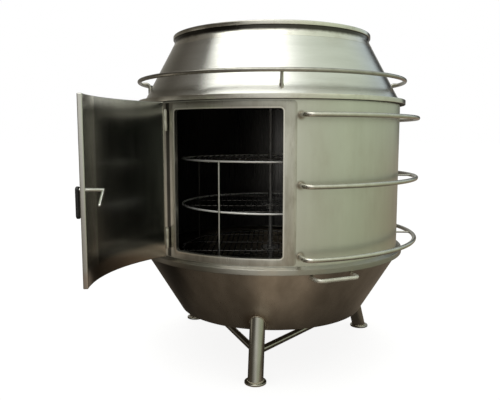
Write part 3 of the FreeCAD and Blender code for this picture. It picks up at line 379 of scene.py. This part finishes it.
drumSteel = steel("drumSteel", {**drumLook, "heatSpots": railSpots(0.022)})
hoodSteel = steel("hoodSteel", hoodLook)
collarSteel = steel("collarSteel", collarLook)
frameSteel = steel("frameSteel", frameLook)
bowlSteel = steel("bowlSteel", {**bowlLook, "heatSpots": legSpots(0.075)})
doorSteel = steel("doorSteel", doorLook)
neckShadeSteel = steel("neckShadeSteel", neckShadeLook)
rodSteel = steel("rodSteel", rodLook)
railSteel = steel("railSteel", railLook)
hoodRailSteel = steel("hoodRailSteel", hoodRailLook)
handleSteel = steel("handleSteel", handleLook)
legSteel = steel("legSteel", legLook)
fittingSteel = steel("fittingSteel", fittingLook)
shaftSteel = steel("shaftSteel", shaftLook)
postSteel = steel("postSteel", postLook)
weldSteel = steel("weldSteel", weldLook)
linerSteel = steel("linerSteel", linerLook)
sootAndShadeSteel = steel("sootAndShadeSteel", sootAndShadeLook)
ringSteel = steel("ringSteel", ringLook)
rackSteel = rackWire("rackSteel", rackLook)
wireSteel = steel("wireSteel", wireLook)
grateIron = steel("grateIron", ironLook)
bushBrass = steel("bushBrass", brassLook)
gripBlack = grip("gripBlack", gripLook)
blanketFibre = fibre("blanketFibre", fibreLook)
print("finishes made")

nodeFinish = {
    "outer_shell": drumSteel, "upper_flange": collarSteel, "hood": hoodSteel, "mouth_rim": collarSteel,
    "lid": hoodSteel, "door_frame": frameSteel, "lower_ring": ringSteel, "fire_bowl": bowlSteel,
    "inner_liner": linerSteel, "insulation_blanket": blanketFibre, "door_blanket": blanketFibre,
    "fire_grate": grateIron, "drip_tray": sootAndShadeSteel, "carousel_shaft": shaftSteel,
    "lower_cross_bar": linerSteel, "upper_cross_bar": linerSteel, "shaft_bush": bushBrass,
    "door_outer_skin": drumSteel, "door_inner_skin": doorSteel, "door_edge_channel": frameSteel,
    "latch_lever": gripBlack, "latch_spindle": wireSteel, "latch_tongue": wireSteel,
    "hinge_pin_lower": fittingSteel, "hinge_pin_upper": fittingSteel,
    "rack_low": rackSteel, "rack_middle": rackSteel, "rack_high": rackSteel, "rack_posts": postSteel,
    "rack_hub_low": shaftSteel, "rack_hub_middle": shaftSteel, "rack_hub_high": shaftSteel,
    "side_rail_low": railSteel, "side_rail_middle": railSteel, "side_rail_high": railSteel,
    "rail_standoffs": railSteel, "hood_rail": hoodRailSteel, "hood_rail_brackets": hoodRailSteel,
    "bowl_handle_front": handleSteel, "bowl_handle_rear": handleSteel,
    "leg_front": legSteel, "leg_right": legSteel, "leg_left": legSteel,
    "brace_right": legSteel, "brace_rear": legSteel, "brace_left": legSteel,
}
for name, node in nodes.items():
    node.data.materials.clear()
    node.data.materials.append(nodeFinish.get(name, rodSteel))
print("finishes set on the frame")

# making and seating a piece


def seatPiece(name, shape, finishes, body, stands, smooth):
    mesh = bpy.data.meshes.new(name)
    shape.to_mesh(mesh)
    shape.free()
    for face in mesh.polygons:
        face.use_smooth = True
    mesh.set_sharp_from_angle(angle=math.radians(smooth))
    piece = bpy.data.objects.new(name, mesh)
    bpy.context.scene.collection.objects.link(piece)
    for finish in finishes:
        mesh.materials.append(finish)
    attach(piece, body)
    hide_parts(*stands)


def roundCorners(points, bends, steps=6, most=0.48):  # a folded sheet's line with its bends
    line = []
    for index, point in enumerate(points):
        corner = Vector(point)
        if index in (0, len(points) - 1) or not bends[index]:
            line.append(corner)
            continue
        back = Vector(points[index - 1]) - corner
        ahead = Vector(points[index + 1]) - corner
        half = back.angle(ahead) / 2
        run = min(bends[index] / math.tan(half), back.length * most, ahead.length * most)
        bend = run * math.tan(half)
        middle = corner + (back.normalized() + ahead.normalized()).normalized() * (bend / math.sin(half))
        first = corner + back.normalized() * run - middle
        last = corner + ahead.normalized() * run - middle
        turn = first.angle_signed(last)
        for step in range(steps + 1):
            share = turn * step / steps
            swung = Vector((first.x * math.cos(share) + first.y * math.sin(share),
                            first.y * math.cos(share) - first.x * math.sin(share)))
            line.append(middle + swung)
    return line


def spun(line, steps):
    shape = bmesh.new()
    rings = []
    for step in range(steps):
        turn = 2 * math.pi * step / steps
        east, north = math.cos(turn), math.sin(turn)
        rings.append([shape.verts.new((point.x * east, point.x * north, point.y)) for point in line])
    for step in range(steps):
        here, there = rings[step], rings[(step + 1) % steps]
        for index in range(len(line) - 1):
            shape.faces.new((here[index], there[index], there[index + 1], here[index + 1]))
    return shape


def thicken(shape, sheet):  # sheet goes inwards from the outer face
    shape.normal_update()
    bmesh.ops.solidify(shape, geom=shape.faces[:], thickness=sheet)
    bmesh.ops.recalc_face_normals(shape, faces=shape.faces[:])


# rolled rim, flange and ring: folded collars spun round the axis

collarSteps = 320
collars = {
    "mouthRim": {
        "outline": ((0.4293, 1.290), (0.4172, 1.3124), (0.4172, 1.3295), (0.422, 1.3295), (0.422, 1.345),
                    (0.398, 1.345), (0.398, 1.3385)),
        "bends": (0, 0.028, 0, 0.002, 0.003, 0.003, 0), "sheet": 0.0016, "finish": (collarSteel, neckShadeSteel),
        "neck": 1.330, "node": "mouth_rim"},
    # the flange's underside gets a dark sheet: painted shade, mirrored as a dark line on the wall below
    "flangeCollar": {
        "outline": ((0.5506, 1.0545), (0.572, 1.0545), (0.572, 1.0740), (0.5440, 1.0745)),
        "bends": (0, 0.003, 0.002, 0), "sheet": 0.002, "finish": (collarSteel, sootAndShadeSteel), "neck": 1.0557,
        "node": "upper_flange"},
    "ringCollar": {
        "outline": ((0.526, 0.437), (0.572, 0.437), (0.572, 0.4585), (0.5505, 0.465)),
        "bends": (0, 0.003, 0.004, 0), "sheet": 0.003, "finish": (ringSteel,), "neck": 0.0,
        "node": "lower_ring"},
}
for name, size in collars.items():
    collar = spun(roundCorners(size["outline"], size["bends"]), collarSteps)
    thicken(collar, size["sheet"])
    for face in collar.faces:  # the second finish lies below the neck: painted shade under the rim band and under the flange
        face.material_index = 1 if face.calc_center_median().z < size["neck"] else 0
    seatPiece(name, collar, size["finish"], "oven", (size["node"],), smooth=50.0)
print("collars spun")

# door: one curved pan with rolled edges, hung open on its hinge line

doorSize = {
    "inner": 0.5531, "outer": 0.5686, "low": 0.471, "high": 1.052, "start": -43.40, "end": 9.00, "steps": 72,
    "edge": 0.003, "edgeSteps": 4, "sharp": 45.0, "hinge": (-0.396033, -0.401564), "open": -90.5,
}


def doorPan(size):
    shape = bmesh.new()
    ribs = []
    for step in range(size["steps"] + 1):
        azimuth = size["start"] + (size["end"] - size["start"]) * step / size["steps"]
        ribs.append([shape.verts.new(around(radius, azimuth, height)) for radius, height in (
            (size["inner"], size["low"]), (size["outer"], size["low"]),
            (size["outer"], size["high"]), (size["inner"], size["high"]))])
    for here, there in zip(ribs, ribs[1:]):
        for corner in range(4):
            after = (corner + 1) % 4
            face = shape.faces.new((here[corner], there[corner], there[after], here[after]))
            face.material_index = 0 if corner == 1 else 1  # the outer face shines as the drum does
    for cap in (shape.faces.new(ribs[0]), shape.faces.new(tuple(reversed(ribs[-1])))):
        cap.material_index = 1
    bmesh.ops.recalc_face_normals(shape, faces=shape.faces[:])
    edges = [edge for edge in shape.edges if edge.calc_face_angle() > math.radians(size["sharp"])]
    bmesh.ops.bevel(shape, geom=edges, offset=size["edge"], segments=size["edgeSteps"], profile=0.5,
                    affect="EDGES", clamp_overlap=True, material=1)
    swing = Matrix.Rotation(math.radians(size["open"]), 3, "Z")
    bmesh.ops.rotate(shape, verts=shape.verts[:], cent=Vector((*size["hinge"], 0.0)), matrix=swing)
    return shape


seatPiece("doorPan", doorPan(doorSize), (drumSteel, doorSteel), "door",
          ("door_outer_skin", "door_inner_skin", "door_edge_channel"), smooth=30.0)
print("door pan made")

# small fittings: the frame's own solids with their sharp edges eased

easing = {"merge": 1e-6, "flat": 0.6, "sharp": 40.0, "steps": 3, "smooth": 30.0}
eased = {
    "hinge_leaf_lower": ("oven", 0.0008, fittingSteel, "fitting_steel"),
    "hinge_leaf_upper": ("oven", 0.0008, fittingSteel, "fitting_steel"),
    "hinge_strap_lower": ("door", 0.0008, fittingSteel, "fitting_steel"),
    "hinge_strap_upper": ("door", 0.0008, fittingSteel, "fitting_steel"),
    "latch_rose": ("door", 0.001, rodSteel, "fitting_steel"),
    "latch_tongue": ("latch", 0.001, wireSteel, "fitting_steel"),
    "foot_front": ("oven", 0.0015, legSteel, "leg_steel"),
    "foot_right": ("oven", 0.0015, legSteel, "leg_steel"),
    "foot_left": ("oven", 0.0015, legSteel, "leg_steel"),
    "door_frame": ("oven", 0.0008, frameSteel, "drum_steel"),
}


def easedCopy(node, width, size):
    shape = bmesh.new()
    shape.from_mesh(node.data)
    bmesh.ops.remove_doubles(shape, verts=shape.verts[:], dist=size["merge"])
    bmesh.ops.dissolve_limit(shape, angle_limit=math.radians(size["flat"]), verts=shape.verts[:],
                             edges=shape.edges[:])
    sharp = math.radians(size["sharp"])
    edges = [edge for edge in shape.edges if len(edge.link_faces) == 2 and edge.calc_face_angle() > sharp]
    bmesh.ops.bevel(shape, geom=edges, offset=width, segments=size["steps"], profile=0.5, affect="EDGES",
                    clamp_overlap=True)
    return shape


for nodeName, (body, width, finish, slot) in eased.items():
    words = nodeName.split("_")
    name = words[0] + "".join(word.title() for word in words[1:])
    seatPiece(name, easedCopy(nodes[nodeName], width, easing), (finish,), body, (nodeName,),
              easing["smooth"])
print("fittings eased")

# weld beads and rivets, repeated by geometry nodes


def startTree(name, inputs):
    tree = bpy.data.node_groups.new(name, "GeometryNodeTree")
    tree.interface.new_socket("Geometry", in_out="OUTPUT", socket_type="NodeSocketGeometry")
    tree.interface.new_socket("Geometry", in_out="INPUT", socket_type="NodeSocketGeometry")
    keys = {}
    for label, kind in inputs.items():
        keys[label] = tree.interface.new_socket(label, in_out="INPUT", socket_type=kind).identifier
    return tree, tree.nodes.new("NodeGroupInput"), tree.nodes.new("NodeGroupOutput"), keys


def endTree(tree, result, spread, finish):
    solid = addNode(tree, "GeometryNodeRealizeInstances", None, {"Geometry": spread})
    smooth = addNode(tree, "GeometryNodeSetShadeSmooth", None, {"Geometry": solid.outputs[0]})
    painted = addNode(tree, "GeometryNodeSetMaterial", None,
                      {"Geometry": smooth.outputs[0], "Material": finish})
    tree.links.new(painted.outputs[0], result.inputs[0])


def drop(tree, given):
    return addNode(tree, "GeometryNodeMeshUVSphere", None, {
        "Segments": given.outputs["Around"], "Rings": given.outputs["Rings"],
        "Radius": given.outputs["Radius"]}).outputs[0]


def beadTree():
    tree, given, result, keys = startTree("weldBead", {
        "Pitch": "NodeSocketFloat", "Radius": "NodeSocketFloat", "Least": "NodeSocketFloat",
        "Most": "NodeSocketFloat", "Around": "NodeSocketInt", "Rings": "NodeSocketInt",
        "Seed": "NodeSocketInt", "Finish": "NodeSocketMaterial"})
    path = addNode(tree, "GeometryNodeMeshToCurve", None, {"Mesh": given.outputs["Geometry"]})
    even = addNode(tree, "GeometryNodeResampleCurve", {"mode": "LENGTH"},
                   {"Curve": path.outputs[0], "Length": given.outputs["Pitch"]})
    vary = addNode(tree, "FunctionNodeRandomValue", {"data_type": "FLOAT"}, {
        2: given.outputs["Least"], 3: given.outputs["Most"], "Seed": given.outputs["Seed"]})
    spread = addNode(tree, "GeometryNodeInstanceOnPoints", None, {
        "Points": even.outputs[0], "Instance": drop(tree, given), "Scale": vary.outputs[1]})
    endTree(tree, result, spread.outputs[0], given.outputs["Finish"])
    return tree, keys


def rivetTree():
    tree, given, result, keys = startTree("rivetHead", {
        "Radius": "NodeSocketFloat", "Crown": "NodeSocketFloat", "Around": "NodeSocketInt",
        "Rings": "NodeSocketInt", "Finish": "NodeSocketMaterial"})
    facing = addNode(tree, "GeometryNodeInputNamedAttribute", {"data_type": "FLOAT_VECTOR"},
                     {"Name": "facing"})
    turn = addNode(tree, "FunctionNodeAlignEulerToVector", {"axis": "Z"},
                   {"Vector": facing.outputs["Attribute"]})
    flat = addNode(tree, "ShaderNodeCombineXYZ", None, {0: 1.0, 1: 1.0, 2: given.outputs["Crown"]})
    spread = addNode(tree, "GeometryNodeInstanceOnPoints", None, {
        "Points": given.outputs["Geometry"], "Instance": drop(tree, given), "Rotation": turn.outputs[0],
        "Scale": flat.outputs[0]})
    endTree(tree, result, spread.outputs[0], given.outputs["Finish"])
    return tree, keys


def grown(name, mesh, tree, keys, values, body):
    piece = bpy.data.objects.new(name, mesh)
    bpy.context.scene.collection.objects.link(piece)
    modifier = piece.modifiers.new("growth", "NODES")
    modifier.node_group = tree
    for label, value in values.items():
        modifier[keys[label]] = value
    bpy.context.view_layer.update()
    solid = bpy.data.meshes.new_from_object(piece.evaluated_get(bpy.context.evaluated_depsgraph_get()))
    piece.modifiers.remove(modifier)
    piece.data = solid
    solid.name = name
    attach(piece, body)
    print(name, len(solid.polygons), "faces")


def pathMesh(name, paths):  # closed rings and open runs as edges
    verts, edges = [], []
    for points, closed in paths:
        first = len(verts)
        verts += [tuple(point) for point in points]
        edges += [(first + index, first + index + 1) for index in range(len(points) - 1)]
        if closed:
            edges.append((len(verts) - 1, first))
    mesh = bpy.data.meshes.new(name)
    mesh.from_pydata(verts, edges, [])
    return mesh


def rodMeets(start, way, radius, gapTo, count, reach, halvings=40):  # the ring where a rod meets a surface
    way = Vector(way).normalized()
    side = way.orthogonal().normalized()
    up = way.cross(side)
    ring = []
    for index in range(count):
        turn = 2 * math.pi * index / count
        edge = Vector(start) + side * (radius * math.cos(turn)) + up * (radius * math.sin(turn))
        near, far = 0.0, reach
        for halving in range(halvings):
            middle = (near + far) / 2
            if gapTo(edge + way * middle) > 0:
                near = middle
            else:
                far = middle
        ring.append(edge + way * near)
    return ring, True


def wallGap(point):
    return math.hypot(point.x, point.y) - oven["wall"]


def bowlGap(point):
    return max(math.hypot(point.x, point.y) - bowlRadius(point.z), oven["bowlLow"] - point.z)


def hoodGap(point):
    return math.hypot(point.x, point.y) - hoodRadius(point.z)


def legGap(azimuth):
    foot, way = legAxis(azimuth)
    return lambda point: (point - foot).cross(way).length - oven["legRadius"]


beadShape = {"Around": 8, "Rings": 6, "Least": 0.85, "Most": 1.2}
weldSize = {
    "legs": {"pitch": 0.0024, "radius": 0.0025}, "rods": {"pitch": 0.0028, "radius": 0.0022},
    "fine": {"pitch": 0.002, "radius": 0.0015}, "seam": {"pitch": 0.0034, "radius": 0.0024},
}
# start is where the search for a weld begins, reach how far it goes, points how many make the ring
legSize = {"bowlStart": 0.12, "bowlPoints": 60, "footStart": 0.1, "footPoints": 48, "footTop": 0.0085,
           "reach": 0.3}
braceSize = {"height": 0.109, "rod": 0.01345, "points": 28}
railSize = {"rod": 0.0086, "circle": 0.623, "start": 0.6, "reach": 0.1, "points": 28}
postSize = {"turns": (89.0, 179.0, 269.0), "rod": 0.004, "wallStart": 0.59, "wallReach": 0.1,
            "railStart": 0.58, "railReach": 0.043, "points": 16}
handleSize = {"turns": (24.6, 204.6), "half": 0.084, "height": 0.419, "rod": 0.0075, "start": 0.575,
              "reach": 0.1, "points": 24}
bracketSize = {"turns": (4.0, 94.0, 184.0, 274.0), "post": 0.530, "rod": 0.006, "start": 1.135,
               "reach": 0.08, "points": 20}
seamSize = {"azimuth": 180.0, "wall": (0.0012, 0.470, 1.050), "hood": (0.0014, 1.100, 1.322),
            "bowl": (0.0014, 0.182, 0.434)}  # how deep each bead sits, and from where to where
lidSize = {"half": 0.075, "rod": 0.006, "seat": 1.3373, "start": 1.36, "reach": 0.1, "points": 24}
down = (0.0, 0.0, -1.0)


def legWelds(size, brace):
    paths = []
    turns = oven["legTurns"]
    for azimuth, after in zip(turns, (*turns[1:], turns[0])):
        foot, way = legAxis(azimuth)
        paths.append(rodMeets(foot + way * size["bowlStart"], way, oven["legRadius"], bowlGap,
                              size["bowlPoints"], size["reach"]))
        paths.append(rodMeets(foot + way * size["footStart"], -way, oven["legRadius"],
                              lambda point: point.z - size["footTop"], size["footPoints"], size["reach"]))
        ends = [legPoint(turn, brace["height"]) for turn in (azimuth, after)]
        middle = (ends[0] + ends[1]) / 2
        for end, turn in zip(ends, (azimuth, after)):
            run = end - middle
            paths.append(rodMeets(middle, run, brace["rod"], legGap(turn), brace["points"], run.length))
    return paths


def railWelds(size, handle):
    paths = []
    for height in oven["railHeights"]:
        for azimuth in oven["railEnds"]:
            paths.append(rodMeets(around(size["start"], azimuth, height), around(-1.0, azimuth, 0.0),
                                  size["rod"], wallGap, size["points"], size["reach"]))
    for azimuth in handle["turns"]:
        side = around(handle["half"], azimuth + 90.0, 0.0)
        for hand in (-1, 1):
            out = around(handle["start"], azimuth, handle["height"]) + side * hand
            paths.append(rodMeets(out, around(-1.0, azimuth, 0.0), handle["rod"], bowlGap,
                                  handle["points"], handle["reach"]))
    return paths


def railGap(size, height):
    def gap(point):
        return math.hypot(math.hypot(point.x, point.y) - size["circle"], point.z - height) - size["rod"]
    return gap


def fineWelds(post, bracket):
    paths = []
    for height in oven["railHeights"]:
        for azimuth in post["turns"]:
            inwards = around(-1.0, azimuth, 0.0)
            paths.append(rodMeets(around(post["wallStart"], azimuth, height), inwards, post["rod"], wallGap,
                                  post["points"], post["wallReach"]))
            paths.append(rodMeets(around(post["railStart"], azimuth, height), -inwards, post["rod"],
                                  railGap(railSize, height), post["points"], post["railReach"]))
    for azimuth in bracket["turns"]:
        paths.append(rodMeets(around(bracket["post"], azimuth, bracket["start"]), down, bracket["rod"],
                              hoodGap, bracket["points"], bracket["reach"]))
    return paths


def seamWelds(size):
    paths = []
    for part, radiusAt in (("wall", lambda height: oven["wall"]), ("hood", hoodRadius), ("bowl", bowlRadius)):
        sunk, *heights = size[part]
        run = [around(radiusAt(height) - sunk, size["azimuth"], height) for height in heights]
        paths.append((run, False))
    return paths


def lidWelds(size):
    return [rodMeets((hand * size["half"], 0, size["start"]), down, size["rod"],
                     lambda point: point.z - size["seat"], size["points"], size["reach"]) for hand in (-1, 1)]


bead, beadKeys = beadTree()
weldJobs = {
    "legWelds": (legWelds(legSize, braceSize), "legs", "oven", "leg_steel"),
    "railWelds": (railWelds(railSize, handleSize), "rods", "oven", "rail_steel"),
    "fineWelds": (fineWelds(postSize, bracketSize), "fine", "oven", "rail_steel"),
    "seamWelds": (seamWelds(seamSize), "seam", "oven", "drum_steel"),
    "lidWelds": (lidWelds(lidSize), "rods", "lid", "drum_steel"),
}
for seed, (name, (paths, kind, body, slot)) in enumerate(weldJobs.items()):
    size = weldSize[kind]
    grown(name, pathMesh(name, paths), bead, beadKeys, {
        **beadShape, "Pitch": size["pitch"], "Radius": size["radius"], "Seed": seed, "Finish": weldSteel},
        body)
print("welds laid")

rivetSize = {
    "radius": 0.0042, "crown": 0.45, "around": 14, "rings": 8, "lows": (0.501, 0.946), "pivot": -44.6025,
    "leafFace": 0.5556, "leafOut": 0.026, "leafRises": (0.010, 0.038, 0.066),
    "strapFace": 0.5719, "strapOuts": (0.024, 0.040), "strapRises": (0.048, 0.066),
}


def rivetMesh(name, spots):
    mesh = bpy.data.meshes.new(name)
    mesh.from_pydata([tuple(point) for point, way in spots], [], [])
    facing = mesh.attributes.new("facing", "FLOAT_VECTOR", "POINT")
    for item, (point, way) in zip(facing.data, spots):
        item.vector = way
    return mesh


def leafRivets(size):
    azimuth = size["pivot"] - math.degrees(size["leafOut"] / size["leafFace"])
    return [(around(size["leafFace"], azimuth, low + rise), around(1.0, azimuth, 0.0))
            for low in size["lows"] for rise in size["leafRises"]]


def strapRivets(size):
    spots = []
    hinge = Vector((*doorSize["hinge"], 0.0))
    swing = Matrix.Rotation(math.radians(doorSize["open"]), 3, "Z")
    for low in size["lows"]:
        for out in size["strapOuts"]:
            azimuth = size["pivot"] + math.degrees(out / size["strapFace"])
            for rise in size["strapRises"]:
                closed = around(size["strapFace"], azimuth, low + rise)
                spots.append((hinge + swing @ (closed - hinge), swing @ around(1.0, azimuth, 0.0)))
    return spots


rivet, rivetKeys = rivetTree()
rivetValues = {"Radius": rivetSize["radius"], "Crown": rivetSize["crown"], "Around": rivetSize["around"],
               "Rings": rivetSize["rings"], "Finish": fittingSteel}
for name, spots, body in (("leafRivets", leafRivets(rivetSize), "oven"),
                          ("strapRivets", strapRivets(rivetSize), "door")):
    grown(name, rivetMesh(name, spots), rivet, rivetKeys, rivetValues, body)
print("rivets set")

# camera at the photographed viewpoint

viewPoint = {"place": (0.0, -2.5046, 0.9295), "tiltDown": 6.56, "turnLeft": 2.115, "lens": 40.39,
             "sensor": 36.0}


def addCamera(size):
    data = bpy.data.cameras.new("photoCamera")
    data.lens = size["lens"]
    data.sensor_width = size["sensor"]
    camera = bpy.data.objects.new("photoCamera", data)
    camera.location = size["place"]
    camera.rotation_euler = (math.radians(90 - size["tiltDown"]), 0.0, math.radians(size["turnLeft"]))
    bpy.context.scene.collection.objects.link(camera)
    bpy.context.scene.camera = camera


addCamera(viewPoint)
print("camera set")

# pale floor, soft lights and a quiet room for the steel to mirror

white = colour(1.0, 1.0, 1.0)
floorSize = {
    "radius": 60.0, "segments": 96, "pale": colour(1.04, 1.04, 1.03), "shade": colour(0.91, 0.905, 0.90),
    "openReach": 0.4, "openSpan": (0.3, 0.95), "under": colour(0.05, 0.042, 0.033),
    "near": colour(0.36, 0.30, 0.235), "far": colour(0.77, 0.73, 0.69),
    "underSpan": (0.40, 0.67), "nearSpan": (1.0, 2.2), "farSpan": (2.0, 16.0),  # metres from the oven's axis
}
roomSize = {"upperSpan": (0.09, 0.17), "ceilingSpan": (0.42, 0.66), "zenithSpan": (0.765, 0.835),
            "leanSpan": (-0.85, -0.81), "flattest": 0.05}
lights = {
    "topSoft": {"place": (-0.6, -2.0, 3.6), "aim": (0.0, 0.0, 1.0), "size": (1.6, 1.2), "power": 12.0},
    "rightSoft": {"place": (3.4, -1.2, 1.6), "aim": (0.0, 0.0, 0.8), "size": (2.0, 2.4), "power": 10.0},
    "backSoft": {"place": (-1.2, 3.6, 2.4), "aim": (0.0, 0.0, 0.8), "size": (2.4, 2.0), "power": 14.0},
}
roomTones = (  # azimuth from the front to the right, and what stands there at eye level
    (-180, colour(0.46, 0.455, 0.43)), (-168, colour(0.40, 0.39, 0.365)), (-150, colour(0.20, 0.185, 0.16)),
    (-125, colour(0.20, 0.185, 0.16)), (-108, colour(0.10, 0.09, 0.075)),
    (-96, colour(0.20, 0.185, 0.16)), (-85, colour(0.19, 0.175, 0.15)), (-75, colour(0.10, 0.088, 0.072)),
    (-60, colour(0.125, 0.11, 0.095)), (-50, colour(0.17, 0.155, 0.135)), (-36, colour(0.36, 0.345, 0.32)),
    (-19, colour(0.46, 0.45, 0.425)), (-2, colour(0.70, 0.69, 0.665)), (8, colour(0.73, 0.725, 0.67)),
    (24, colour(0.67, 0.685, 0.57)), (68, colour(0.59, 0.655, 0.495)),
    (115, colour(0.49, 0.547, 0.423)), (138, colour(0.43, 0.48, 0.385)), (147, colour(0.05, 0.05, 0.05)),
    (155, colour(0.05, 0.05, 0.05)), (163, colour(0.40, 0.40, 0.37)), (180, colour(0.46, 0.455, 0.43)),
)
floorSwaps = {-96: colour(0.60, 0.57, 0.505), -85: colour(0.60, 0.57, 0.505), 115: colour(0.44, 0.42, 0.305),
              138: colour(0.36, 0.30, 0.25), 147: colour(0.36, 0.30, 0.25), 155: colour(0.36, 0.30, 0.25)}
floorTones = [(angle, floorSwaps.get(angle, tone)) for angle, tone in roomTones]
upperTones = (  # above eye level: what legs and rim mirror
    *[stop for stop in roomTones if stop[0] < -140], (-125, colour(0.10, 0.09, 0.075)),
    (-70, colour(0.07, 0.062, 0.05)), (-39, colour(0.075, 0.066, 0.055)),
    (-29, colour(0.50, 0.49, 0.46)), (-11, colour(0.90, 0.89, 0.86)), (10, colour(0.88, 0.88, 0.82)),
    (30, colour(0.80, 0.815, 0.70)), (70, colour(0.74, 0.80, 0.63)), (115, colour(0.58, 0.65, 0.57)),
    (138, colour(0.66, 0.74, 0.78)), *[stop for stop in roomTones if stop[0] > 140],
)
ceilingTones = (
    (-180, colour(0.05, 0.042, 0.034)), (-140, colour(0.12, 0.105, 0.09)), (-110, colour(0.185, 0.17, 0.15)),
    (-104, colour(0.25, 0.24, 0.22)), (-97, colour(2.6, 2.6, 2.5)), (10, colour(2.6, 2.6, 2.5)),
    (33, colour(1.62, 1.65, 1.57)), (52, colour(1.04, 1.09, 0.975)), (75, colour(0.88, 0.94, 0.82)),
    (110, colour(0.75, 0.82, 0.70)), (145, colour(0.85, 0.92, 0.98)), (154, colour(0.85, 0.92, 0.98)),
    (163, colour(0.06, 0.055, 0.05)), (180, colour(0.05, 0.042, 0.034)),
)
shadeTones = (  # left of the ceiling's edge
    (-180, colour(0.05, 0.042, 0.034)), (-140, colour(0.12, 0.105, 0.09)), (-110, colour(0.185, 0.17, 0.15)),
    (-87, colour(0.30, 0.29, 0.27)), (-50, colour(0.36, 0.35, 0.33)), (180, colour(0.36, 0.35, 0.33)),
)
zenithTones = (  # overhead: as the ceiling to the front, light to the rear
    (-180, colour(0.80, 0.82, 0.80)), (-122, colour(0.62, 0.62, 0.60)), (-106, colour(0.22, 0.20, 0.17)),
    *[stop for stop in ceilingTones if -98 < stop[0] < 140], (150, colour(0.80, 0.84, 0.82)),
    (180, colour(0.80, 0.82, 0.80)),
)
nearShares = (  # how light the floor close by looks in the bowl
    (-180, 0.8), (-125, 0.35), (-90, 0.08), (-50, 0.30), (-34, 0.37), (-20, 0.40), (-13, 0.54), (-9, 1.05),
    (-4, 1.5), (2, 1.4), (11, 1.02), (24, 1.15), (35, 0.5), (46, 0.40), (80, 0.42), (140, 0.6), (180, 0.8),
)


def bearing(tree, axes):  # share of a full turn, 0.5 at the front
    azimuth = calc(tree, "ARCTAN2", axes[0], calc(tree, "MULTIPLY", axes[1], -1.0))
    return calc(tree, "ADD", calc(tree, "DIVIDE", azimuth, 2 * math.pi), 0.5)


def ringRamp(tree, share, tones):
    return ramp(tree, share, [(angle / 360 + 0.5, tone) for angle, tone in tones])


def addFloor(size):
    mesh = bpy.data.meshes.new("studioFloor")
    shape = bmesh.new()
    bmesh.ops.create_circle(shape, cap_ends=True, segments=size["segments"], radius=size["radius"])
    shape.to_mesh(mesh)
    shape.free()
    floor = bpy.data.objects.new("studioFloor", mesh)
    bpy.context.scene.collection.objects.link(floor)
    material = bpy.data.materials.new("floorPale")
    material.use_nodes = True
    tree = material.node_tree
    tree.nodes.clear()
    output = tree.nodes.new("ShaderNodeOutputMaterial")
    # the floor glows: painted contact shadow, darker where ambient occlusion finds the oven close
    openSky = addNode(tree, "ShaderNodeAmbientOcclusion", {"samples": 8}, {"Distance": size["openReach"]})
    openShare = remap(tree, openSky.outputs["AO"], *size["openSpan"])
    pale = mixColour(tree, openShare, size["shade"], size["pale"])
    spot = addNode(tree, "ShaderNodeTexCoord").outputs["Object"]
    reach = measure(tree, "LENGTH", spot)
    share = bearing(tree, split(tree, spot))
    # in reflections the floor shows painted tones, with painted shade under the oven
    shade = ringRamp(tree, share, [(angle, colour(part, part, part)) for angle, part in nearShares])
    near = mixColour(tree, 1.0, shade, size["near"], "MULTIPLY")
    near = mixColour(tree, remap(tree, reach, *size["underSpan"]), size["under"], near)
    dim = mixColour(tree, remap(tree, reach, *size["farSpan"]), size["far"], white)
    far = mixColour(tree, 1.0, ringRamp(tree, share, floorTones), dim, "MULTIPLY")
    mirrored = mixColour(tree, remap(tree, reach, *size["nearSpan"]), near, far)
    seen = addNode(tree, "ShaderNodeLightPath").outputs["Is Camera Ray"]
    tone = mixColour(tree, seen, mirrored, pale)
    glow = addNode(tree, "ShaderNodeEmission", None, {"Color": tone, "Strength": 1.0})
    tree.links.new(glow.outputs[0], output.inputs["Surface"])
    mesh.materials.append(material)


def addLight(name, size):
    data = bpy.data.lights.new(name, "AREA")
    data.shape = "RECTANGLE"
    data.size, data.size_y = size["size"]
    data.energy = size["power"]
    lamp = bpy.data.objects.new(name, data)
    lamp.location = size["place"]
    lamp.visible_glossy = False  # the room alone is mirrored
    lamp.rotation_euler = (Vector(size["aim"]) - Vector(size["place"])).to_track_quat("-Z", "Y").to_euler()
    bpy.context.scene.collection.objects.link(lamp)


def addRoom(size):
    world = bpy.data.worlds.new("studioRoom")
    world.use_nodes = True
    tree = world.node_tree
    tree.nodes.clear()
    output = tree.nodes.new("ShaderNodeOutputWorld")
    axes = split(tree, addNode(tree, "ShaderNodeTexCoord").outputs["Generated"])
    share = bearing(tree, axes)
    bands = (roomTones, upperTones, ceilingTones, shadeTones, zenithTones)
    walls, upper, ceiling, shade, zenith = [ringRamp(tree, share, tones) for tones in bands]
    room = mixColour(tree, remap(tree, axes[2], *size["upperSpan"]), walls, upper)
    over = mixColour(tree, remap(tree, axes[2], *size["zenithSpan"]), ceiling, zenith)
    lean = calc(tree, "DIVIDE", axes[0], calc(tree, "MAXIMUM", axes[2], size["flattest"]))
    over = mixColour(tree, remap(tree, lean, *size["leanSpan"]), shade, over)
    room = mixColour(tree, remap(tree, axes[2], *size["ceilingSpan"]), room, over)
    seen = addNode(tree, "ShaderNodeLightPath").outputs["Is Camera Ray"]
    tone = mixColour(tree, seen, room, white)
    glow = addNode(tree, "ShaderNodeBackground", None, {"Color": tone, "Strength": 1.0})
    tree.links.new(glow.outputs[0], output.inputs["Surface"])
    bpy.context.scene.world = world


addFloor(floorSize)
for name, size in lights.items():
    addLight(name, size)
addRoom(roomSize)
bpy.context.scene.view_settings.view_transform = "Standard"
print("studio ready")
